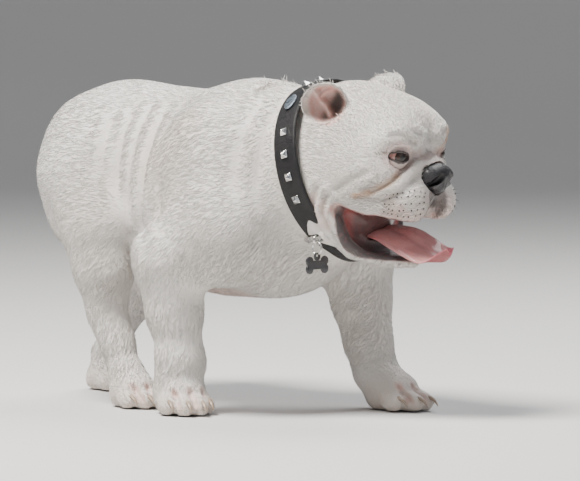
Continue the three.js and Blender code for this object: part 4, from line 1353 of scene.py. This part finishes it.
@dataclass
class Whiskers:
    """Dark pores in rows on the flews, each with a short bristle."""

    skin: Skin
    rows: int = 5
    in_row: int = 8

    def build(self) -> bpy.types.Object:
        """One piece with every pore and bristle."""
        place = self.skin.place
        near = place.head.local(place.design(self.skin.verts))
        tree = BVHTree.FromPolygons(near.tolist(), self.skin.tris.tolist())
        rng = np.random.default_rng(3)
        verts, faces = [], []
        for side in Side:
            for row in range(self.rows):
                for k in range(self.in_row - row % 2):
                    spot = np.array([112 - 5.0 * k - 0.8 * row, 36 + 3.4 * k, -72 - 6.0 * row - 1.0 * k])
                    spot[:2] += rng.normal(0, 0.8, 2)
                    spot[1] *= side.value
                    hit, normal, _, _ = tree.find_nearest(Vector(spot))
                    for rings, tip in self.pore(np.array(hit), np.array(normal), side, rng):
                        self.closed(rings, tip, verts, faces)
        obj = new_piece("whiskers", place.metres(HEAD.body(np.array(verts))), np.array(faces))
        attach(obj, "root")
        return obj

    @staticmethod
    def closed(rings: list, tip: Array, verts: list, faces: list) -> None:
        """Adds rings of vertices that end in a tip."""
        start, around = len(verts), len(rings[0])
        last = len(rings) * around
        verts += [*np.concatenate(rings), tip]
        faces += [*(ring_faces(len(rings), around) + start)]
        faces += [*(fan_faces(last - around, around, last) + start)]

    @staticmethod
    def pore(at: Array, normal: Array, side: Side, rng: np.random.Generator) -> list:
        """The rings and the tip of one low dome, and of its bristle."""
        across = np.cross(normal, [0.3, 0.1, 1.0])
        across /= np.linalg.norm(across)
        up = np.cross(normal, across)

        def ring(middle: Array, radius: float, sides: int) -> Array:
            """A ring round the normal."""
            turn = 2 * math.pi * np.arange(sides)[:, None] / sides
            return middle + radius * (np.cos(turn) * across + np.sin(turn) * up)

        size = rng.uniform(0.75, 1.1)
        dome = [ring(at + normal * lift, size * r, 8) for lift, r in ((0.6, 1.0), (1.25, 0.7))]
        way = normal * 0.8 + np.array([-0.5, 0.3 * side.value, -0.35]) + rng.normal(0, 0.15, 3)
        way *= rng.uniform(4, 11) / np.linalg.norm(way)
        sag = np.array([0, 0, 0.9])
        bristle = [ring(at + normal + way * along - sag * along ** 2, r, 3)
                   for along, r in ((0.0, 0.16), (0.6, 0.10))]
        return [(dome, at + normal * 1.4), (bristle, at + normal + way - sag)]


# Materials

class Nodes:
    """Short ways to put nodes into a tree."""

    def __init__(self, tree: bpy.types.NodeTree, shader: bpy.types.Node = None) -> None:
        """Keeps the tree, its shader if it has one, and the spot where the next node goes."""
        self.tree = tree
        self.shader = shader
        self.spot = 0

    def feed(self, name: str, value: bpy.types.NodeSocket) -> None:
        """Links a value to one of the shader's inputs."""
        self.tree.links.new(value, self.shader.inputs[name])

    def add(self, kind: str, values: dict = None, **settings: object) -> bpy.types.Node:
        """A node with its settings, and with numbers or links on its inputs."""
        node = self.tree.nodes.new(kind)
        line, column = divmod(self.spot, 12)
        node.location = (column * 180, -line * 260)
        self.spot += 1
        for key, value in settings.items():
            setattr(node, key, value)
        for key, value in (values or {}).items():
            if isinstance(value, bpy.types.NodeSocket):
                self.tree.links.new(value, node.inputs[key])
            elif value is not None:
                node.inputs[key].default_value = value
        return node

    def mask(self, name: str) -> bpy.types.NodeSocket:
        """A number stored on the mesh."""
        return self.add("ShaderNodeAttribute", attribute_name=name).outputs["Fac"]

    def place(self) -> bpy.types.NodeSocket:
        """Object coordinates."""
        return self.add("ShaderNodeTexCoord").outputs["Object"]

    def noise(self, scale: float, detail: float = 3.0, rough: float = 0.5) -> bpy.types.NodeSocket:
        """Noise over object coordinates, with bumps about 1 / scale metres wide."""
        return self.add("ShaderNodeTexNoise", {"Vector": self.place(), "Scale": scale, "Detail": detail,
                                               "Roughness": rough}).outputs["Fac"]

    def cells(self, scale: float, feature: str = "F1") -> bpy.types.NodeSocket:
        """Distances in Voronoi cells over object coordinates."""
        return self.add("ShaderNodeTexVoronoi", {"Vector": self.place(), "Scale": scale},
                        feature=feature).outputs["Distance"]

    def math(self, operation: str, a: object, b: object) -> bpy.types.NodeSocket:
        """One sum, product or other operation."""
        return self.add("ShaderNodeMath", {0: a, 1: b}, operation=operation).outputs[0]

    def range(self, value: object, low: float, high: float, to: tuple = (0.0, 1.0)) -> bpy.types.NodeSocket:
        """A number moved from one range to another, with soft ends."""
        values = {"Value": value, "From Min": low, "From Max": high, "To Min": to[0], "To Max": to[1]}
        return self.add("ShaderNodeMapRange", values, interpolation_type="SMOOTHSTEP").outputs["Result"]

    def mix(self, amount: object, a: object, b: object) -> bpy.types.NodeSocket:
        """Colour a with colour b laid over it."""
        node = self.add("ShaderNodeMix", data_type="RGBA")
        for socket, value in zip((node.inputs[0], node.inputs[6], node.inputs[7]), (amount, a, b)):
            if isinstance(value, bpy.types.NodeSocket):
                self.tree.links.new(value, socket)
            else:
                socket.default_value = (*value, 1.0) if isinstance(value, tuple) else value
        return node.outputs[2]

    def bump(self, height: object, depth: float, under: object = None) -> bpy.types.NodeSocket:
        """A bumped normal; depth is in metres."""
        return self.add("ShaderNodeBump", {"Height": height, "Distance": depth, "Strength": 1.0,
                                           "Normal": under}).outputs["Normal"]


@dataclass(frozen=True)
class Look:
    """Numbers of a plain surface."""

    roughness: float = 0.5
    metallic: float = 0.0
    coat: float = 0.0
    subsurface: float = 0.0
    depth_m: float = 0.003
    sheen: float = 0.0
    specular: float = 0.5


@dataclass
class Wardrobe:
    """Every material."""

    made: dict = field(default_factory=dict)

    @staticmethod
    def begun(name: str, look: Look) -> tuple:
        """A material with its shader's constants set, and the nodes to go on with."""
        material = bpy.data.materials.new(name)
        material.use_nodes = True
        shader = material.node_tree.nodes["Principled BSDF"]
        constants = {"Roughness": look.roughness, "Metallic": look.metallic, "Coat Weight": look.coat,
                     "Coat Roughness": 0.08, "Subsurface Weight": look.subsurface,
                     "Subsurface Scale": look.depth_m, "Subsurface Radius": (1.0, 0.45, 0.3),
                     "Sheen Weight": look.sheen, "Specular IOR Level": look.specular}
        for socket, value in constants.items():
            shader.inputs[socket].default_value = value
        return material, Nodes(material.node_tree, shader)

    def markings(self) -> bpy.types.NodeTree:
        """The dog's colours from its masks, for the skin and for the coat, with shade painted into the
        creases.
        """
        if "markings" in self.made:
            return self.made["markings"]
        group = bpy.data.node_groups.new("dog_colours", "ShaderNodeTree")
        group.interface.new_socket("Fur", in_out="INPUT", socket_type="NodeSocketFloat")
        group.interface.new_socket("Colour", in_out="OUTPUT", socket_type="NodeSocketColor")
        n = Nodes(group)
        fur = n.add("NodeGroupInput").outputs["Fur"]
        broad = n.range(n.noise(9, 4), 0.3, 0.7)
        white = n.mix(broad, (0.62, 0.59, 0.55), (0.74, 0.72, 0.69))
        skin = n.mix(n.noise(60, 3), (0.72, 0.56, 0.49), (0.80, 0.68, 0.60))
        base = n.mix(fur, skin, white)
        speckle = n.range(n.noise(140, 4), 0.35, 0.65, (0.55, 1.0))
        tan = n.mix(n.noise(90, 3), (0.45, 0.22, 0.10), (0.62, 0.36, 0.19))
        base = n.mix(n.math("MULTIPLY", n.mask("tan"), speckle), base, tan)
        pink = n.mix(n.noise(120, 3), (0.66, 0.31, 0.27), (0.80, 0.47, 0.41))
        base = n.mix(n.math("MULTIPLY", n.mask("pink"), speckle), base, pink)
        wet = n.mix(n.noise(70, 3), (0.20, 0.035, 0.032), (0.42, 0.11, 0.10))
        base = n.mix(n.mask("wet"), base, wet)
        # Painted shade: the creases are darkened towards brown by the fold mask.
        base = n.mix(n.math("MULTIPLY", n.mask("fold"), 0.62), base, (0.30, 0.20, 0.155))
        dark = n.mix(n.noise(300, 3), (0.012, 0.010, 0.010), (0.045, 0.034, 0.032))
        base = n.mix(n.mask("dark"), base, dark)
        out = n.add("NodeGroupOutput")
        group.links.new(base, out.inputs["Colour"])
        self.made["markings"] = group
        return group

    def coloured(self, n: Nodes, fur: float) -> bpy.types.NodeSocket:
        """The shared colours in a material."""
        node = n.add("ShaderNodeGroup", node_tree=self.markings())
        node.inputs["Fur"].default_value = fur
        return node.outputs["Colour"]

    def skin(self) -> bpy.types.Material:
        """Skin with short flat hair drawn in its bump, and wet inside the mouth."""
        material, n = self.begun("skin", Look(0.62, subsurface=0.12, depth_m=0.004, sheen=0.15))
        n.feed("Base Color", self.coloured(n, 0.85))
        wet = n.mask("wet")
        n.feed("Roughness", n.range(wet, 0.2, 0.8, (0.62, 0.32)))
        n.feed("Coat Weight", n.math("MULTIPLY", wet, 0.35))
        hair = n.math("ADD", n.noise(520, 2, 0.6), n.math("MULTIPLY", n.noise(1700, 2), 0.4))
        pores = n.bump(n.cells(1500, "SMOOTH_F1"), 0.00018)
        n.feed("Normal", n.bump(hair, 0.0007, pores))
        return material

    def coat(self) -> bpy.types.Material:
        """Short hair, with shade painted a little darker at its roots."""
        material, n = self.begun("coat", Look(0.58, sheen=0.1, specular=0.35))
        colour = self.coloured(n, 1.0)
        strand = n.range(n.mask("shade"), 0.0, 1.0, (0.0, 0.16))
        colour = n.mix(strand, colour, (0.55, 0.49, 0.42))
        # Painted shade: each tuft is darker towards its root.
        root = n.range(n.mask("along"), 0.0, 0.6, (0.14, 0.0))
        n.feed("Base Color", n.mix(root, colour, (0.50, 0.42, 0.36)))
        n.feed("Normal", n.bump(n.noise(2600, 2), 0.0002))
        return material

    def eye(self) -> bpy.types.Material:
        """Pupil, brown iris, dark limbus and a pink-white rim, under a clear wet layer."""
        material, n = self.begun("eyeball", Look(0.3, coat=0.6, specular=0.3))
        ring = n.mask("ring")
        fibres = n.noise(1400, 2)
        iris = n.mix(fibres, (0.010, 0.005, 0.003), (0.05, 0.020, 0.009))
        white = n.mix(n.noise(420, 4), (0.36, 0.13, 0.11), (0.50, 0.32, 0.28))
        pupil = n.range(ring, 0.15, 0.20)
        edge = n.range(ring, 0.44, 0.50)
        colour = n.mix(pupil, (0.002, 0.002, 0.002), iris)
        colour = n.mix(n.range(ring, 0.38, 0.45), colour, (0.010, 0.006, 0.005))
        n.feed("Base Color", n.mix(edge, colour, white))
        n.feed("Normal", n.bump(n.noise(260, 2), 0.00003))
        return material

    def nose(self) -> bpy.types.Material:
        """Grey-black pebbled leather, wet in patches, with shade painted into the nostrils."""
        material, n = self.begun("nose", Look(0.5, coat=0.12, specular=0.35))
        colour = n.mix(n.noise(160, 3), (0.007, 0.007, 0.008), (0.034, 0.032, 0.035))
        # Painted shade: the nostrils are darker than the leather.
        n.feed("Base Color", n.mix(n.mask("hole"), colour, (0.004, 0.003, 0.003)))
        n.feed("Roughness", n.range(n.noise(110, 2), 0.35, 0.65, (0.36, 0.58)))
        pebbles = n.bump(n.cells(760, "SMOOTH_F1"), 0.0006)
        n.feed("Normal", n.bump(n.noise(3000, 2), 0.00008, pebbles))
        return material

    def tongue(self) -> bpy.types.Material:
        """Pale pink and rough above, with shade painted in as magenta where it curls and dark red beneath.
        """
        material, n = self.begun("tongue", Look(0.30, coat=0.45, subsurface=0.25, depth_m=0.004))
        top = n.mix(n.noise(90, 4), (0.66, 0.24, 0.24), (0.78, 0.40, 0.38))
        # Painted shade: the curled tip darkens to magenta.
        curl_shade = n.range(n.mask("along"), 0.66, 0.92)
        top = n.mix(n.math("MULTIPLY", curl_shade, 0.75), top, (0.50, 0.06, 0.13))
        # Painted shade: the underside is dark red.
        n.feed("Base Color", n.mix(n.mask("under"), top, (0.30, 0.05, 0.055)))
        grain = n.bump(n.cells(1500, "SMOOTH_F1"), 0.0005)
        n.feed("Normal", n.bump(n.noise(200, 3), 0.0008, grain))
        return material

    def whisker(self) -> bpy.types.Material:
        """Black pores and bristles."""
        material, n = self.begun("whisker", Look(0.55))
        n.feed("Base Color", n.mix(n.noise(400, 2), (0.012, 0.010, 0.010), (0.05, 0.04, 0.035)))
        return material

    def claw(self) -> bpy.types.Material:
        """Horn: pale brown with darker streaks."""
        material, n = self.begun("claw", Look(0.38, coat=0.2))
        streak = n.noise(600, 3)
        n.feed("Base Color", n.mix(streak, (0.20, 0.14, 0.10), (0.46, 0.36, 0.28)))
        n.feed("Normal", n.bump(streak, 0.0002))
        return material

    def leather(self) -> bpy.types.Material:
        """Black grained leather, greyer where it is worn."""
        material, n = self.begun("leather", Look(0.5, coat=0.04, specular=0.3))
        colour = n.mix(n.noise(50, 4), (0.006, 0.006, 0.007), (0.016, 0.015, 0.016))
        n.feed("Base Color", n.mix(n.range(n.noise(240, 5), 0.64, 0.84), colour, (0.06, 0.055, 0.05)))
        n.feed("Roughness", n.range(n.noise(160, 3), 0.3, 0.7, (0.34, 0.52)))
        grain = n.bump(n.cells(900, "SMOOTH_F1"), 0.0004)
        n.feed("Normal", n.bump(n.noise(1600, 3), 0.0002, grain))
        return material

    def metal(self, name: str, bright: tuple, dull: tuple, roughness: float) -> bpy.types.Material:
        """Polished metal with faint scratches and dull patches."""
        material, n = self.begun(name, Look(roughness, metallic=1.0))
        dirt = n.range(n.noise(300, 4), 0.45, 0.75)
        n.feed("Base Color", n.mix(dirt, bright, dull))
        n.feed("Roughness", n.range(n.noise(500, 4), 0.3, 0.7, (roughness * 0.7, roughness * 1.6)))
        n.feed("Normal", n.bump(n.noise(2400, 2), 0.00005))
        return material

    def tag(self) -> bpy.types.Material:
        """Black enamel with fine scratches."""
        material, n = self.begun("tag", Look(0.3, coat=0.5))
        colour = n.mix(n.noise(120, 4), (0.010, 0.010, 0.012), (0.028, 0.028, 0.032))
        n.feed("Base Color", n.mix(n.range(n.noise(420, 5), 0.66, 0.8), colour, (0.12, 0.12, 0.13)))
        n.feed("Normal", n.bump(n.noise(900, 3), 0.0001))
        return material

    def floor(self) -> bpy.types.Material:
        """A pale plain floor."""
        material, n = self.begun("floor", Look(0.8))
        n.feed("Base Color", n.mix(n.noise(2, 2), (0.62, 0.61, 0.60), (0.64, 0.63, 0.62)))
        return material


@dataclass
class Hardware:
    """The solids that stay as they are, with rounded edges and materials."""

    wardrobe: Wardrobe

    @staticmethod
    def rounded(obj: bpy.types.Object, width: float, levels: int) -> None:
        """Rounds an object's edges, and smooths it if levels is above zero."""
        weld = obj.modifiers.new("weld", "WELD")
        weld.merge_threshold = 1e-5
        if width:
            bevel = obj.modifiers.new("bevel", "BEVEL")
            bevel.width = width
            bevel.segments = 3
            bevel.affect = "EDGES"
            bevel.profile = 0.5
            bevel.material = -1
            bevel.limit_method = "ANGLE"
            bevel.angle_limit = math.radians(25)
        if levels:
            smooth = obj.modifiers.new("smooth", "SUBSURF")
            smooth.levels = levels
            smooth.render_levels = levels
        obj.data.shade_smooth()

    def dress(self) -> None:
        """Finds each solid by its name and dresses it."""
        w = self.wardrobe
        bright = w.metal("bright_metal", (0.80, 0.79, 0.77), (0.45, 0.43, 0.41), 0.20)
        # Painted reflection: the plate's blue-grey tint stands in for the sky seen in the metal.
        plate = w.metal("plate", (0.36, 0.42, 0.50), (0.20, 0.23, 0.27), 0.32)
        kinds = {"collar": (w.leather(), 0.0012, 1), "collar_plate": (plate, 0.0006, 0),
                 "collar_clasp": (bright, 0.0006, 0), "tag_ring": (bright, 0.0, 1),
                 "tag": (w.tag(), 0.0008, 0)}
        claw = w.claw()
        for obj in list(bpy.context.scene.objects):
            if obj.name in kinds:
                material, width, levels = kinds[obj.name]
            elif obj.name.startswith("stud_"):
                material, width, levels = bright, 0.0005, 0
            elif obj.name.startswith("claw_"):
                material, width, levels = claw, 0.0, 2
            else:
                continue
            self.rounded(obj, width, levels)
            obj.data.materials.clear()
            obj.data.materials.append(material)


@dataclass
class Studio:
    """Floor, lights and camera."""

    place: Placement
    wardrobe: Wardrobe
    azimuth: float = 43
    elevation: float = 3.5
    distance: float = 5.814
    lens: float = 310.3
    target: tuple = (44.6, 41.1, 194.4)

    def back(self, azimuth: float, elevation: float) -> Vector:
        """The direction from the dog to a viewer."""
        a, e = math.radians(azimuth), math.radians(elevation)
        return Vector((math.sin(a) * math.cos(e), -math.cos(a) * math.cos(e), math.sin(e)))

    def light(self, name: str, azimuth: float, elevation: float, size: float, power: float,
              colour: tuple = (1, 1, 1)) -> None:
        """A square soft light three metres off, aimed at the dog."""
        lamp = bpy.data.lights.new(name, "AREA")
        lamp.size = size
        lamp.energy = power
        lamp.color = colour
        obj = bpy.data.objects.new(name, lamp)
        back = self.back(azimuth, elevation)
        obj.location = Vector((0, 0, 0.2)) + back * 3
        obj.rotation_euler = back.to_track_quat("Z", "Y").to_euler()
        bpy.context.scene.collection.objects.link(obj)

    def build(self) -> None:
        """Puts the stage round the dog."""
        back, right = self.back(self.azimuth, 0), self.back(self.azimuth + 90, 0)
        bend, radius, top = 5.0, 3.0, 9.0
        rise = [(-7.0, 0.0), (bend, 0.0)]
        rise += [(bend + radius * math.sin(a), radius - radius * math.cos(a))
                 for a in np.linspace(0.1, math.pi / 2, 14)]
        rise += [(bend + radius, top)]
        verts = [tuple(-back * s + right * w + Vector((0, 0, z))) for s, z in rise for w in (-top, top)]
        faces = np.array([[2 * i, 2 * i + 2, 2 * i + 3, 2 * i + 1] for i in range(len(rise) - 1)])
        floor = new_piece("floor", np.array(verts), faces)
        floor.data.materials.append(self.wardrobe.floor())
        world = bpy.data.worlds.new("studio")
        world.use_nodes = True
        world.node_tree.nodes["Background"].inputs["Color"].default_value = (0.78, 0.84, 0.95, 1)
        world.node_tree.nodes["Background"].inputs["Strength"].default_value = 0.22
        bpy.context.scene.world = world
        self.light("key", self.azimuth - 50, 62, 1.1, 265, (1.0, 0.97, 0.92))
        self.light("fill", self.azimuth + 45, 18, 2.6, 12, (0.88, 0.94, 1.0))
        self.light("rim", self.azimuth + 150, 55, 1.8, 80)
        camera = bpy.data.cameras.new("camera")
        camera.lens = self.lens
        camera.sensor_width = 36
        camera.clip_end = 60
        obj = bpy.data.objects.new("camera", camera)
        back = self.back(self.azimuth, self.elevation)
        obj.location = Vector(self.place.metres(np.array(self.target))) + back * self.distance
        obj.rotation_euler = back.to_track_quat("Z", "Y").to_euler()
        bpy.context.scene.collection.objects.link(obj)
        bpy.context.scene.camera = obj


def main() -> None:
    """Builds the dog piece by piece."""
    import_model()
    place = Placement().fit()
    wardrobe = Wardrobe()
    skin = Skin(place).build()
    markings = Markings(place)
    markings.paint(skin.object, skin.verts, normals_of(skin.verts, skin.tris))
    skin.object.data.materials.append(wardrobe.skin())
    coat = wardrobe.coat()
    for piece in Coat(skin, markings).build():
        piece.data.materials.append(coat)
    iris = wardrobe.eye()
    for side in Side:
        Eyes(place).build(side).data.materials.append(iris)
        Lids(place, markings).build(side).data.materials.append(skin.object.data.materials[0])
    Whiskers(skin).build().data.materials.append(wardrobe.whisker())
    Nose(place).build().data.materials.append(wardrobe.nose())
    Tongue(place).build().data.materials.append(wardrobe.tongue())
    Hardware(wardrobe).dress()
    LOG.info("eyes, nose, tongue and collar dressed")
    Studio(place, wardrobe).build()


if __name__ == "__main__":
    logging.basicConfig(level=logging.INFO, format="%(message)s")
    main()
